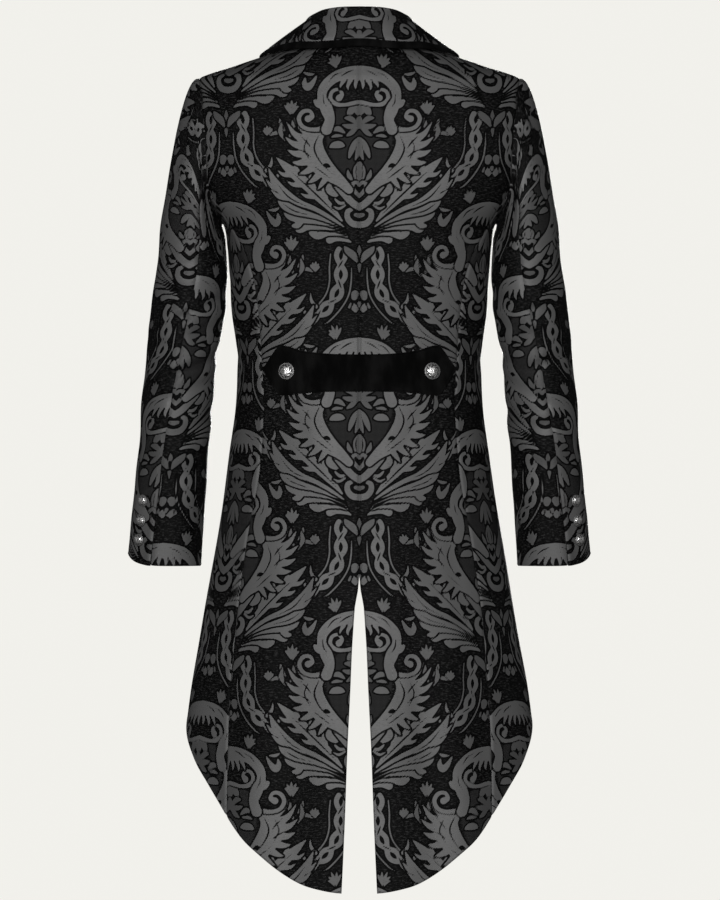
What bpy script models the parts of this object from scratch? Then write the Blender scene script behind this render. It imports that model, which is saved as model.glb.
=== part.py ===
"""A damask tailcoat, filled out as it is worn.

The coat faces +Y with +Z up, so its back looks towards -Y and the wearer's right is +X.
The origin is midway between the two neck points, where the coat hangs on the wearer.
Lengths are in millimetres here, angles in degrees, and the meshes are made in metres.
"""

import math

import bmesh
import bpy
import numpy as np

METRES = 0.001
SHARP_ANGLE = 40
WALL = 2.0
SEAM_GAP = 0.3
REST_GAP = 0.4
SHANK = 1.1


class Table:
    """Rows of numbers under named columns, read smoothly at any value of the first column."""

    def __init__(self, names, rows):
        self.names = names.split()
        self.rows = np.array(sorted(rows), dtype=float)

    def read(self, name, where):
        return read_curve(self.rows[:, 0], self.rows[:, self.names.index(name)], where)


def read_curve(at, values, where):
    """Cubic curve through the values, which never swings past them."""
    step = np.diff(at)
    slope = np.diff(values) / step
    mean = (slope[:-1] * step[1:] + slope[1:] * step[:-1]) / (step[:-1] + step[1:])
    limit = 3 * np.minimum(np.abs(slope[:-1]), np.abs(slope[1:]))
    mean = np.where(slope[:-1] * slope[1:] > 0, np.clip(mean, -limit, limit), 0)
    tangent = np.concatenate([slope[:1], mean, slope[-1:]])
    where = np.clip(np.asarray(where, dtype=float), at[0], at[-1])
    index = np.clip(np.searchsorted(at, where, side="right") - 1, 0, len(step) - 1)
    span = step[index]
    part = (where - at[index]) / span
    start = values[index] * (1 + 2 * part) * (1 - part) ** 2
    end = values[index + 1] * part ** 2 * (3 - 2 * part)
    bend = tangent[index] * part * (1 - part) ** 2 - tangent[index + 1] * part ** 2 * (1 - part)
    return start + end + span * bend


# The body form, one row for each level: half its width, its depth behind and in front, and how square it is.
FORM = Table("level half_width back front power", [
    (8, 54, 78, 66, 2.0),
    (0, 75, 81, 70, 2.0),
    (-6, 97, 84, 75, 2.0),
    (-13, 122, 88, 80, 2.0),
    (-20, 144, 92, 85, 2.0),
    (-28, 167, 96, 90, 2.0),
    (-35, 190, 99, 95, 2.0),
    (-42, 208, 102, 99, 2.0),
    (-50, 215, 104, 103, 2.0),
    (-65, 220, 107, 108, 2.1),
    (-85, 223, 110, 114, 2.4),
    (-110, 221, 113, 119, 2.6),
    (-140, 216, 116, 124, 2.8),
    (-175, 208, 118, 127, 2.9),
    (-205, 195, 118, 128, 2.8),
    (-235, 176, 116, 127, 2.6),
    (-260, 172.4, 114, 125, 2.5),
    (-300, 169.8, 110, 122, 2.4),
    (-350, 165.5, 104, 117, 2.3),
    (-385, 160, 101, 114, 2.25),
    (-418, 158, 100, 113, 2.2),
    (-465, 160, 105, 115, 2.2),
    (-525, 168, 114, 120, 2.15),
    (-605, 178, 125, 126, 2.1),
    (-680, 191, 132, 131, 2.1),
    (-760, 205, 139, 136, 2.1),
    (-840, 220, 145, 141, 2.1),
    (-880, 225, 148, 143, 2.1),
    (-955, 231, 153, 146, 2.1),
    (-1050, 237, 159, 150, 2.1),
    (-1110, 240, 162, 152, 2.1),
])

# Soft folds of the body: where each lies, from which level to which, its width and its height.
BODY_FOLDS = Table("turn top bottom width height", [
    (14, -470, -1150, 9, 2.5),
    (31, -560, -1150, 8, -2.5),
    (47, -610, -1150, 9, 3.0),
    (63, -560, -1150, 8, -3.0),
    (79, -480, -1150, 8, 2.5),
    (112, -480, -1150, 9, -3.0),
    (136, -460, -1150, 9, 2.5),
])

FOLD_GROWTH = 0.7

# The hem, level by turn from the centre back: the tails fall low behind and are cut away to the front.
HEM = Table("turn level", [
    (0, -1094.5),
    (8.5, -1094),
    (18.5, -1089.5),
    (25.5, -1083.5),
    (36, -1065),
    (43.5, -1045.5),
    (50, -1027),
    (55, -1008.5),
    (60, -988),
    (64, -970.5),
    (68, -952.5),
    (72.5, -933.5),
    (77, -912.5),
    (82, -893.5),
    (90, -871),
    (100, -836),
    (112, -786),
    (125, -720),
    (138, -645),
    (150, -573),
    (161, -512),
    (170, -475),
    (178, -457),
    (185, -450),
])

# Half the width of the vent, by level, and the side-back seam's distance from the centre back.
VENT = Table("level half_width", [
    (-1110, 23.5),
    (-1000, 18.5),
    (-915, 15.5),
    (-837, 11.7),
    (-759, 8),
    (-712, 3.6),
    (-697, 0),
    (10, 0),
])
SIDE_BACK_SEAM = Table("level half_width", [
    (-184.5, 200),
    (-213, 181),
    (-245, 161),
    (-290, 141),
    (-340, 132),
    (-380, 129),
    (-425, 126),
    (-462, 124),
    (-512, 126),
    (-564, 131),
    (-616, 141),
    (-668, 150),
    (-733, 159),
    (-798, 165.5),
    (-850, 169.5),
    (-900, 172),
    (-1050, 174),
])
UNDERARM_TURN = 100
UNDERARM_LEAN = 40
CLOSE_STEPS = 400
SIDE_SEAM_RISE = 12
TAIL_LEVEL = -1090

SHOULDER_LEVEL = -42
ARMPIT_LEVEL = -232
ARMHOLE_BACK = 66
ARMHOLE_FRONT = 60
CLOCK_STEP = 15
SEAM_CLOCK = 120
UNDERARM_CLOCK = 210

# The neck seam and the front edge below it, as turns and levels from the neck point down to the waist.
NECK_POINT_LEVEL = 0
BACK_NECK_LEVEL = 6
GORGE_TURN = 135
GORGE_LEVEL = -14
FRONT_EDGE = [(135, -14), (150, -62), (161, -140), (168, -215), (174, -282), (182, -325), (187, -350),
              (187.5, -400), (187, -436), (185, -450)]
LAP_HEIGHT = 3.3
LAP_TURNS = (158, 169)

# The sleeve below the armhole: its outer and inner edge, how far forward it hangs, and half its depth.
SLEEVE = Table("level outer inner forward half_depth", [
    (-252, 260, 174.2, 2, 70),
    (-300, 266, 171.3, 3, 69),
    (-350, 272, 175.8, 5, 67),
    (-400, 276.5, 182.5, 8, 65),
    (-450, 281, 188.5, 12, 63),
    (-500, 285.5, 193.5, 16, 60),
    (-564, 292, 199, 22, 56),
    (-603, 295.5, 201.5, 26, 53),
    (-642, 300, 204, 30, 50),
    (-676, 303, 206, 33, 48),
])
SLEEVE_TOP = -252
ARRIVE_STEP = 12
SLEEVE_POWER = 2.1
HIND_SEAM = Table("level clock", [(-252, 105), (-350, 94), (-450, 81), (-550, 73), (-676, 70)])
FORE_SEAM_CLOCK = 240
CAP_STEPS = [0, 0.05, 0.13, 0.24, 0.4, 0.6, 0.8, 1]
ARM_STEPS = [-285, -320, -355, -385, -412, -438, -466, -500, -540, -582, -610, -640, -676]
CUFF_START = -600
CUFF_LENGTH = 76
CUFF_RISE = 14.3
CUFF_REACH = 40
CAP_LEAVE = 0.28
CAP_ARRIVE = 1.05
HEAD_CLEAR = 0.7
HEAD_CLEAR_TOP = 0.4
CREASE_SLANT = 0.25

# Creases of the sleeve, across it: the level and clock of each, its height up and down, its reach and depth.
SLEEVE_CREASES = Table("level clock rise reach depth", [
    (-330, 150, 13, 55, -3.0),
    (-372, 118, 11, 50, -2.5),
    (-405, 165, 12, 60, -4.0),
    (-440, 130, 11, 55, -3.0),
    (-478, 170, 12, 50, -3.0),
])

# The collar by turn: its roll line, and its outer edge with the height of that edge above the form.
COLLAR = Table("turn roll_x roll_y roll_z edge_x edge_y edge_lift", [
    (0, 0, -71, 43.5, 0, -95, 22),
    (18, 23, -68, 43, 36, -93, 20.5),
    (36, 42, -55, 40.5, 66, -84, 16),
    (54, 54, -38, 36, 88, -67, 10.5),
    (72, 61, -17, 32, 108, -42, 5.5),
    (90, 64, 4, 26, 123, -8, 3.4),
    (105, 65, 24, 19, 130, 24, 3.4),
    (120, 64, 44, 9, 130, 54, 4),
    (135, 60, 63, -2, 122, 76, 5.5),
])
COLLAR_TURNS = [0, 18, 36, 54, 72, 90, 105, 120, 135]
COLLAR_INSET = 1.5
COLLAR_BELLY = 2.4
ROLL_RADIUS = 3.6
BINDING_WIDTH = 9.5
BINDING_WALL = 2.6

# The lapel's outer edge on the front, from the notch down to the break, and its roll line beside it.
LAPEL_ROLL = [(137, -20), (150, -62), (161, -140), (168, -215), (171.5, -262), (173, -300)]
LAPEL_EDGE = [(121, -58), (124, -95), (134, -150), (148, -215), (160, -268), (171.5, -306)]
LAPEL_STAND = 1.4
LAPEL_BAND = 8
LAPEL_BULGE = 2.2
LAPEL_ROWS = 11
LAPEL_COLUMNS = 5

# The half belt: its edges from the middle to the corner, and its pointed tip.
BELT_TOP = Table("x level", [(0, -402), (45, -400.5), (75, -396.5), (99, -390), (124, -420)])
BELT_BOTTOM = Table("x level", [(0, -450), (45, -450.5), (75, -452.5), (99, -455), (124, -422)])
BELT_STATIONS = [0, 14, 28, 42, 56, 70, 84, 99, 107, 115, 121, 124]
BELT_ROWS = 5
BELT_WALL = 2.2
BELT_STAND = 0.9

BELT_BUTTON = {"radius": 11, "height": 6.5, "x": 92, "level": -423.5}
FRONT_BUTTON = {"radius": 10, "height": 6, "levels": (-352, -388, -424)}
CUFF_BUTTON = {"radius": 8, "height": 5.5, "clock": 47, "levels": (-591, -617, -644)}


def form_sizes(level):
    return [FORM.read(name, level) for name in ("half_width", "back", "front", "power")]


def form_point(turn, level):
    """The smooth form, by the turn from the centre back and the level."""
    turn = np.asarray(turn, dtype=float)
    level = np.asarray(level, dtype=float)
    half_width, back, front, power = form_sizes(level)
    across = np.sin(np.radians(turn))
    along = np.cos(np.radians(turn))
    depth = np.where(along >= 0, back, front)
    reach = (np.abs(across / half_width) ** power + np.abs(along / depth) ** power) ** (-1 / power)
    return np.stack([reach * across, -reach * along, level + 0 * turn], axis=-1)


def normals_of(surface, first, second, first_step, second_step):
    """Outward normals of a surface given as a function of two values."""
    across = surface(first + first_step, second) - surface(first - first_step, second)
    along = surface(first, second - second_step) - surface(first, second + second_step)
    normal = np.cross(along, across)
    return normal / np.linalg.norm(normal, axis=-1, keepdims=True)


def ease(value):
    value = np.clip(value, 0, 1)
    return value * value * (3 - 2 * value)


def body_fold(turn, level):
    """How far the folds stand proud of the form."""
    height = np.zeros(np.broadcast(turn, level).shape)
    for middle, top, bottom, width, rise in BODY_FOLDS.rows:
        grown = ease((top - level) / (FOLD_GROWTH * (top - bottom)))
        height = height + rise * grown * np.exp(-((turn - middle) / width) ** 2)
    return height


def coat_point(turn, level):
    """The coat's outer face on the body."""
    turn = np.asarray(turn, dtype=float)
    level = np.asarray(level, dtype=float)
    form = form_point(turn, level)
    normal = normals_of(form_point, turn, level, 0.5, 1.0)
    return form + normal * body_fold(turn, level)[..., None]


def coat_normal(turn, level):
    return normals_of(coat_point, turn, level, 0.5, 1.0)


def turn_at(x, level):
    """The turn at which the back of the form is x from the centre."""
    half_width, back, _, power = form_sizes(level)
    share = np.clip(np.asarray(x, dtype=float) / half_width, 0, 1)
    depth = back * (1 - share ** power) ** (1 / power)
    return np.degrees(np.arctan2(x, depth))


def armhole(clock, inset=0):
    """Turn and level round the armhole: clock 0 is the shoulder point, 90 behind, 180 the armpit."""
    clock = np.radians(np.asarray(clock, dtype=float))
    middle = (SHOULDER_LEVEL + ARMPIT_LEVEL) / 2
    level = middle + ((SHOULDER_LEVEL - ARMPIT_LEVEL) / 2 - inset) * np.cos(clock)
    depth = np.where(np.sin(clock) > 0, ARMHOLE_BACK, ARMHOLE_FRONT) - inset
    y = -depth * np.sin(clock)
    half_width, back, front, power = form_sizes(level)
    share = np.abs(y) / np.where(y < 0, back, front)
    x = half_width * (1 - share ** power) ** (1 / power)
    return np.stack([np.degrees(np.arctan2(x, -y)), level], axis=-1)


def way_along(points):
    """Rough distance of each point from the first, a degree of turn counting as 2 mm."""
    steps = np.hypot(2 * np.diff(points[:, 0]), np.diff(points[:, 1]))
    return np.concatenate([[0], np.cumsum(steps)])


def trace(points, count):
    """Evenly spaced turns and levels on a smooth curve through the points."""
    points = np.array(points, dtype=float)
    at = way_along(points)
    where = np.linspace(0, at[-1], count)
    return np.stack([read_curve(at, points[:, 0], where), read_curve(at, points[:, 1], where)], axis=-1)


def form_level(x, y):
    """The level at which the form passes through x and y, over the shoulders."""
    high, low = float(FORM.rows[-1, 0]), -120.0
    for _ in range(40):
        middle = (high + low) / 2
        half_width, back, front, power = [float(size) for size in form_sizes(middle)]
        outside = (abs(x) / half_width) ** power + (abs(y) / (back if y < 0 else front)) ** power > 1
        if outside:
            high = middle
        else:
            low = middle
    return middle


def neck_seam(turn):
    """Level of the neck seam."""
    turn = np.asarray(turn, dtype=float)
    behind = NECK_POINT_LEVEL + (BACK_NECK_LEVEL - NECK_POINT_LEVEL) * np.cos(np.radians(turn)) ** 2
    before = NECK_POINT_LEVEL + (GORGE_LEVEL - NECK_POINT_LEVEL) * ((turn - 90) / (GORGE_TURN - 90)) ** 2
    return np.where(turn <= 90, behind, before)


def shoulder_seam(count):
    """Turns and levels from the neck point to the shoulder point, evenly spaced in width."""
    levels = np.linspace(NECK_POINT_LEVEL, SHOULDER_LEVEL, CLOSE_STEPS)
    widths = FORM.read("half_width", levels)
    spaced = np.interp(np.linspace(widths[0], widths[-1], count), widths, levels)
    return np.stack([np.full(count, 90.0), spaced], axis=-1)


def side_back_seam():
    """Turns and levels from the armhole to the hem."""
    levels = np.linspace(armhole(SEAM_CLOCK)[1], SIDE_BACK_SEAM.rows[0, 0], CLOSE_STEPS)
    turns = turn_at(SIDE_BACK_SEAM.read("half_width", levels), levels)
    turns[0] = armhole(SEAM_CLOCK)[0]
    above = levels > HEM.read("level", turns)
    last = levels[above][-1]
    levels = levels[0] + (last - levels[0]) * SEAM_PARTS
    turns = turn_at(SIDE_BACK_SEAM.read("half_width", levels), levels)
    turns[0] = armhole(SEAM_CLOCK)[0]
    return np.stack([turns, levels], axis=-1)


def underarm_seam():
    start = armhole(UNDERARM_CLOCK)
    levels = start[1] + (float(HEM.read("level", UNDERARM_TURN)) - start[1]) * SEAM_PARTS
    turns = UNDERARM_TURN + (start[0] - UNDERARM_TURN) * np.exp((levels - start[1]) / UNDERARM_LEAN)
    turns[-1] = UNDERARM_TURN
    return np.stack([turns, levels], axis=-1)


def hem_line(start, end, count):
    turns = np.linspace(start, end, count)
    return np.stack([turns, HEM.read("level", turns)], axis=-1)


def patch(top, bottom, left, right, top_reach, bottom_reach):
    """Turns and levels of a panel between its four edges, which share their corners."""
    across = np.linspace(0, 1, len(top))[None, :, None]
    down = (way_along(left) / way_along(left)[-1] + way_along(right) / way_along(right)[-1]) / 2
    grid = left[:, None] * (1 - across) + right[:, None] * across
    for edge, near, reach in ((top, down, top_reach), (bottom, 1 - down, bottom_reach)):
        straight = edge[0] * (1 - across[0]) + edge[-1] * across[0]
        fade = np.clip(1 - near / reach, 0, 1) ** 2
        grid = grid + fade[:, None, None] * (edge - straight)[None]
    return grid


def unit(vectors):
    return vectors / np.linalg.norm(vectors, axis=-1, keepdims=True)


def pull_in(points, distance, from_top=True):
    """Moves the border of a grid of points inwards, square to itself, so that sewn pieces stay apart."""
    moved = points.copy()
    for border, inner in ((0, 1), (-1, -2)):
        for axis in (0, 1):
            if axis == 0 and border == 0 and not from_top:
                continue
            line = np.take(points, border, axis=axis)
            along = unit(np.gradient(line, axis=0))
            there = np.take(points, inner, axis=axis) - line
            there = there - along * np.sum(there * along, axis=-1, keepdims=True)
            shift = unit(there) * distance
            if axis == 0:
                moved[border] += shift
            else:
                moved[:, border] += shift
    return moved


def material(name, colour, roughness, metallic=0.0):
    finish = bpy.data.materials.new(name)
    finish.use_nodes = True
    shader = finish.node_tree.nodes["Principled BSDF"]
    shader.inputs["Base Color"].default_value = (*colour, 1)
    shader.inputs["Roughness"].default_value = roughness
    shader.inputs["Metallic"].default_value = metallic
    return finish


def add_object(name, points, faces, finish):
    mesh = bpy.data.meshes.new(name)
    mesh.from_pydata([tuple(point) for point in np.asarray(points) * METRES], [], faces)
    tidy = bmesh.new()
    tidy.from_mesh(mesh)
    bmesh.ops.recalc_face_normals(tidy, faces=tidy.faces)
    tidy.to_mesh(mesh)
    tidy.free()
    mesh.materials.append(finish)
    mesh.shade_smooth()
    mesh.set_sharp_from_angle(angle=math.radians(SHARP_ANGLE))
    thing = bpy.data.objects.new(name, mesh)
    bpy.context.scene.collection.objects.link(thing)
    return thing


def add_wall(name, outer, inner, side, finish):
    """A closed wall between two grids of points, mirrored to the left where side is -1."""
    rows, columns = outer.shape[:2]
    points = np.concatenate([outer.reshape(-1, 3), inner.reshape(-1, 3)]) * (side, 1, 1)
    below = rows * columns

    def at(row, column):
        return row * columns + column

    faces = []
    for row in range(rows - 1):
        for column in range(columns - 1):
            corners = (at(row, column), at(row, column + 1), at(row + 1, column + 1), at(row + 1, column))
            faces.append(corners)
            faces.append(tuple(below + corner for corner in reversed(corners)))
    border = [at(0, column) for column in range(columns)]
    border += [at(row, columns - 1) for row in range(1, rows)]
    border += [at(rows - 1, column) for column in range(columns - 2, -1, -1)]
    border += [at(row, 0) for row in range(rows - 2, 0, -1)]
    for here, there in zip(border, border[1:] + border[:1]):
        faces.append((there, here, below + here, below + there))
    return add_object(name, points, faces, finish)


def lap_lift(turn, side):
    """The left front lies over the right one."""
    low, high = LAP_TURNS
    return LAP_HEIGHT * ease((turn - low) / (high - low)) * (side < 0)


def add_panel(name, grid, side, finish, lift=0, wall=WALL, gap=SEAM_GAP):
    """A piece of cloth on the coat's form, its outer face moved out by lift."""
    turn, level = grid[..., 0], grid[..., 1]
    normal = coat_normal(turn, level)
    lift = np.zeros(turn.shape) + lift
    face = pull_in(coat_point(turn, level), gap / 2) + normal * lift[..., None]
    return add_wall(name, face, face - normal * wall, side, finish)


SEAM_PARTS = np.array([0, 0.015, 0.04, 0.075, 0.12, 0.165, 0.205, 0.245, 0.285, 0.325, 0.37, 0.43, 0.5,
                       0.59, 0.69, 0.79, 0.9, 1])


def back_grid():
    """Half the back: neck and shoulder above, the vent and centre-back seam to one side."""
    neck_turns = np.linspace(0, 90, 6)
    neck = np.stack([neck_turns, neck_seam(neck_turns)], axis=-1)
    shoulder = shoulder_seam(7)
    top = np.concatenate([neck, shoulder[1:]])
    hole = armhole(np.arange(0, SEAM_CLOCK, CLOCK_STEP))
    right = np.concatenate([hole, side_back_seam()])
    first = np.linspace(BACK_NECK_LEVEL, right[len(hole)][1] - SIDE_SEAM_RISE, len(hole) + 1)
    bottom_level = float(HEM.read("level", turn_at(VENT.read("half_width", TAIL_LEVEL), TAIL_LEVEL)))
    second = first[-1] + (bottom_level - first[-1]) * SEAM_PARTS
    levels = np.concatenate([first, second[1:]])
    left = np.stack([turn_at(VENT.read("half_width", levels), levels), levels], axis=-1)
    bottom = hem_line(left[-1][0], right[-1][0], len(top))
    return patch(top, bottom, left, right, 0.34, 0.3)


def side_grid():
    """The side body, under the arm."""
    top = armhole(np.arange(SEAM_CLOCK, UNDERARM_CLOCK + 1, CLOCK_STEP))
    left = side_back_seam()
    right = underarm_seam()
    bottom = hem_line(left[-1][0], right[-1][0], len(top))
    return patch(top, bottom, left, right, 0.25, 0.3)


def front_grid():
    """One front, from the armhole and underarm seam to the front edge, cut away below the waist."""
    top = shoulder_seam(9)[::-1]
    hole = armhole(np.arange(360, UNDERARM_CLOCK, -CLOCK_STEP))
    left = np.concatenate([hole, underarm_seam()])
    neck_turns = np.linspace(90, GORGE_TURN, 4)
    neck = np.stack([neck_turns, neck_seam(neck_turns)], axis=-1)
    edge = trace(FRONT_EDGE, len(left) - len(neck) + 1)
    right = np.concatenate([neck, edge[1:]])
    bottom = hem_line(left[-1][0], right[-1][0], len(top))
    return patch(top, bottom, left, right, 0.3, 0.45)


def sleeve_ring(clock, level):
    """A point of the sleeve below the armpit."""
    outer, inner, forward, half_depth = [SLEEVE.read(name, level) for name in SLEEVE.names[1:]]
    angle = np.radians(clock)
    up, back = np.cos(angle), np.sin(angle)
    reach = (np.abs(up) ** SLEEVE_POWER + np.abs(back) ** SLEEVE_POWER) ** (-1 / SLEEVE_POWER)
    x = (outer + inner) / 2 + (outer - inner) / 2 * reach * up
    y = forward - half_depth * reach * back
    return np.stack([x, y, level + 0 * x], axis=-1)


def cuffed(clock, level):
    """The cuff's hem rises towards the outer edge of the sleeve."""
    from_edge = (clock + 180) % 360 - 180
    low = ease((CUFF_START - level) / CUFF_LENGTH)
    return level + CUFF_RISE * low * np.exp(-(from_edge / CUFF_REACH) ** 2)


def sleeve_start(clock):
    """Where the sleeve is set into the armhole, just clear of its edge."""
    turn_level = armhole(clock, SEAM_GAP)
    point = coat_point(turn_level[..., 0], turn_level[..., 1])
    top = (1 + np.cos(np.radians(clock))) / 2
    point[..., 0] += HEAD_CLEAR + HEAD_CLEAR_TOP * top ** 2
    return point


def sleeve_smooth(clock, way):
    """The sleeve without its creases: way runs from 0 to 1 in the cap, and then on by level."""
    clock = np.asarray(clock, dtype=float)
    way = np.asarray(way, dtype=float)
    start = sleeve_start(clock)
    end = sleeve_ring(clock, np.full(clock.shape, float(SLEEVE_TOP)))
    length = np.linalg.norm(end - start, axis=-1, keepdims=True)
    under = ((1 - np.cos(np.radians(clock))) / 2)[..., None]
    leave = (1 - under) * np.array([1, 0, 0.05]) + under * np.array([1, 0, -0.5])
    below = sleeve_ring(clock, np.full(clock.shape, float(SLEEVE_TOP - ARRIVE_STEP)))
    arrive = (below - end) / ARRIVE_STEP
    part = np.clip(way, 0, 1)[..., None]
    cap = start * (1 + 2 * part) * (1 - part) ** 2 + end * part ** 2 * (3 - 2 * part)
    cap = cap + length * (CAP_LEAVE * leave * part * (1 - part) ** 2)
    cap = cap - length * (CAP_ARRIVE * arrive * part ** 2 * (1 - part))
    level = SLEEVE_TOP - np.clip(way - 1, 0, None) * 100
    return np.where((way <= 1)[..., None], cap, sleeve_ring(clock, cuffed(clock, level)))


def sleeve_point(clock, way):
    """The sleeve's outer face, with its creases."""
    smooth = sleeve_smooth(clock, way)
    middle = smooth * (0, 0, 1)
    middle[..., 0] = (SLEEVE.read("outer", smooth[..., 2]) + SLEEVE.read("inner", smooth[..., 2])) / 2
    middle[..., 1] = SLEEVE.read("forward", smooth[..., 2])
    away = smooth - middle
    away = away / np.linalg.norm(away, axis=-1, keepdims=True)
    crease = np.zeros(smooth.shape[:-1])
    for level, clock_middle, rise, reach, depth in SLEEVE_CREASES.rows:
        slant = (np.asarray(clock) - clock_middle) * CREASE_SLANT
        off = (smooth[..., 2] - level - slant) / rise
        crease = crease + depth * np.exp(-off ** 2 - ((np.asarray(clock) - clock_middle) / reach) ** 2)
    return smooth + away * crease[..., None]


def sleeve_normal(clock, way):
    return normals_of(sleeve_point, clock, way, 0.5, 0.01)


def way_of(level):
    return 1 + (SLEEVE_TOP - level) / 100


def sleeve_grid(upper):
    """Clocks and ways of the top or the under sleeve, between the hind seam and the fore seam."""
    ways = np.array(CAP_STEPS + [way_of(level) for level in ARM_STEPS])
    levels = SLEEVE_TOP - np.clip(ways - 1, 0, None) * 100
    hind = HIND_SEAM.read("clock", levels)
    fore = np.full(len(ways), float(FORE_SEAM_CLOCK))
    first, last = (fore - 360, hind) if upper else (hind, fore)
    span = last[0] - first[0]
    across = np.linspace(0, 1, round(span / CLOCK_STEP) + 1)
    clock = first[:, None] * (1 - across) + last[:, None] * across
    return clock, np.repeat(ways[:, None], len(across), axis=1)


def add_sleeve(name, upper, side, finish):
    clock, way = sleeve_grid(upper)
    normal = sleeve_normal(clock, way)
    face = pull_in(sleeve_point(clock, way), SEAM_GAP / 2, from_top=False)
    return add_wall(name, face, face - normal * WALL, side, finish)


def collar_section(turn):
    """Points of the folded collar at one turn, from the neck seam over the roll to the outer edge."""
    seam = form_point(turn, neck_seam(turn))
    inward = seam * (1, 1, 0)
    inward = -inward / np.linalg.norm(inward)
    seam = seam + inward * COLLAR_INSET + np.array([0, 0, REST_GAP])
    row = {name: float(COLLAR.read(name, turn)) for name in COLLAR.names[1:]}
    roll = np.array([row["roll_x"], row["roll_y"], row["roll_z"]])
    edge_level = form_level(row["edge_x"], row["edge_y"]) + row["edge_lift"]
    edge = np.array([row["edge_x"], row["edge_y"], edge_level])
    out = (edge - roll) * (1, 1, 0)
    out = out / np.linalg.norm(out)
    up = np.array([0, 0, 1.0])
    stand = [seam + (roll - seam) * part for part in (0, 0.35, 0.7)]
    fold = []
    for angle in (0, 60, 120, 180):
        lean = math.radians(angle)
        fold.append(roll + ROLL_RADIUS * (out * (1 - math.cos(lean)) + up * math.sin(lean)))
    fall = edge - fold[-1]
    length = np.linalg.norm(fall)
    belly = np.cross(fall / length, np.cross(up, out))
    parts = (0.25, 0.5, 0.75, 1 - BINDING_WIDTH / length, 1)
    rest = [fold[-1] + fall * part + belly * COLLAR_BELLY * math.sin(math.pi * part) for part in parts]
    return np.array(stand + fold + rest)


def grid_normals(points):
    down = np.gradient(points, axis=0)
    across = np.gradient(points, axis=1)
    normal = np.cross(down, across)
    return normal / np.linalg.norm(normal, axis=-1, keepdims=True)


def both_sides(half):
    """A grid of one side and the same grid mirrored, joined at the centre."""
    return np.concatenate([(half * (-1, 1, 1))[:0:-1], half])


def add_collar(cloth, velvet):
    half = np.array([collar_section(turn) for turn in COLLAR_TURNS])
    points = both_sides(half)
    normal = grid_normals(points)
    fall = points[:, :-1]
    add_wall("collar", fall + normal[:, :-1] * WALL / 2, fall - normal[:, :-1] * WALL / 2, 1, cloth)
    band = points[:, -2:].copy()
    along = band[:, 1] - band[:, 0]
    along = along / np.linalg.norm(along, axis=-1, keepdims=True)
    band[:, 0] += along * SEAM_GAP
    middle = (band[:, 0] + band[:, 1]) / 2
    band = np.stack([band[:, 0], middle, band[:, 1]], axis=1)
    thick = np.repeat(normal[:, -2:-1], 3, axis=1) * BINDING_WALL / 2
    add_wall("collar_binding", band + thick, band - thick, 1, velvet)


def add_lapel(side, cloth, velvet):
    """The lapel lies on the front, bound with velvet along its outer edge."""
    roll = trace(LAPEL_ROLL, LAPEL_ROWS)
    edge = trace(LAPEL_EDGE, LAPEL_ROWS)
    across = np.linspace(0, 1, LAPEL_COLUMNS)[None, :, None]
    widths = np.linalg.norm(coat_point(*edge.T) - coat_point(*roll.T), axis=-1)
    share = np.clip(1 - LAPEL_BAND / widths, 0.3, 1)[:, None]
    inner = roll + (edge - roll) * share
    leaf = roll[:, None] * (1 - across) + inner[:, None] * across
    tail = "_left" if side < 0 else "_right"
    height = LAPEL_STAND + WALL + LAPEL_BULGE * np.sin(np.linspace(0.15, 1, LAPEL_COLUMNS) * math.pi)
    turn, level = leaf[..., 0], leaf[..., 1]
    lift = height[None, :] + lap_lift(turn, side)
    add_panel("lapel" + tail, leaf, side, cloth, lift)
    ends = np.linspace(0, 1, 3)[None, :, None]
    strip = inner[:, None] * (1 - ends) + edge[:, None] * ends
    lift = LAPEL_STAND + BINDING_WALL + lap_lift(strip[..., 0], side)
    add_panel("lapel_binding" + tail, strip, side, velvet, lift, BINDING_WALL)


def belt_grid():
    """Turns and levels of the half belt's right half, from the centre back to its tip."""
    rows = []
    for x in BELT_STATIONS:
        top = float(BELT_TOP.read("level", x))
        bottom = float(BELT_BOTTOM.read("level", x))
        levels = np.linspace(top, bottom, BELT_ROWS)
        rows.append(np.stack([turn_at(np.full(BELT_ROWS, float(x)), levels), levels], axis=-1))
    return np.array(rows)


def add_half_belt(velvet):
    grid = belt_grid()
    turn, level = grid[..., 0], grid[..., 1]
    normal = coat_normal(turn, level)
    normal[0, :, 0] = 0
    face = coat_point(turn, level)
    face[0, :, 0] = 0
    under = both_sides(face + normal * BELT_STAND)
    over = both_sides(face + normal * (BELT_STAND + BELT_WALL))
    return add_wall("half_belt", over, under, 1, velvet)


def add_button(name, place, normal, radius, height, side, finish):
    """A domed metal button with a rolled rim, standing on the cloth."""
    profile = [(0.0, 0.0), (0.86, 0.0), (1.0, 0.22), (0.97, 0.42), (0.86, 0.5), (0.6, 0.83), (0.3, 0.97), (0.0, 1.0)]
    segments = 16
    normal = normal / np.linalg.norm(normal)
    first = np.cross(normal, (0, 0, 1.0))
    first = first / np.linalg.norm(first)
    second = np.cross(normal, first)
    points = []
    rings = []
    for share, rise in profile:
        centre = place + normal * rise * height
        if share == 0:
            rings.append([len(points)])
            points.append(centre)
            continue
        ring = []
        for index in range(segments):
            angle = 2 * math.pi * index / segments
            ring.append(len(points))
            away = first * math.cos(angle) + second * math.sin(angle)
            points.append(centre + away * share * radius)
        rings.append(ring)
    faces = []
    for low, high in zip(rings, rings[1:]):
        for index in range(segments):
            after = (index + 1) % segments
            if len(low) == 1:
                faces.append((low[0], high[index], high[after]))
            elif len(high) == 1:
                faces.append((low[after], low[index], high[0]))
            else:
                faces.append((low[index], low[after], high[after], high[index]))
    return add_object(name, np.array(points) * (side, 1, 1), faces, finish)


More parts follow.
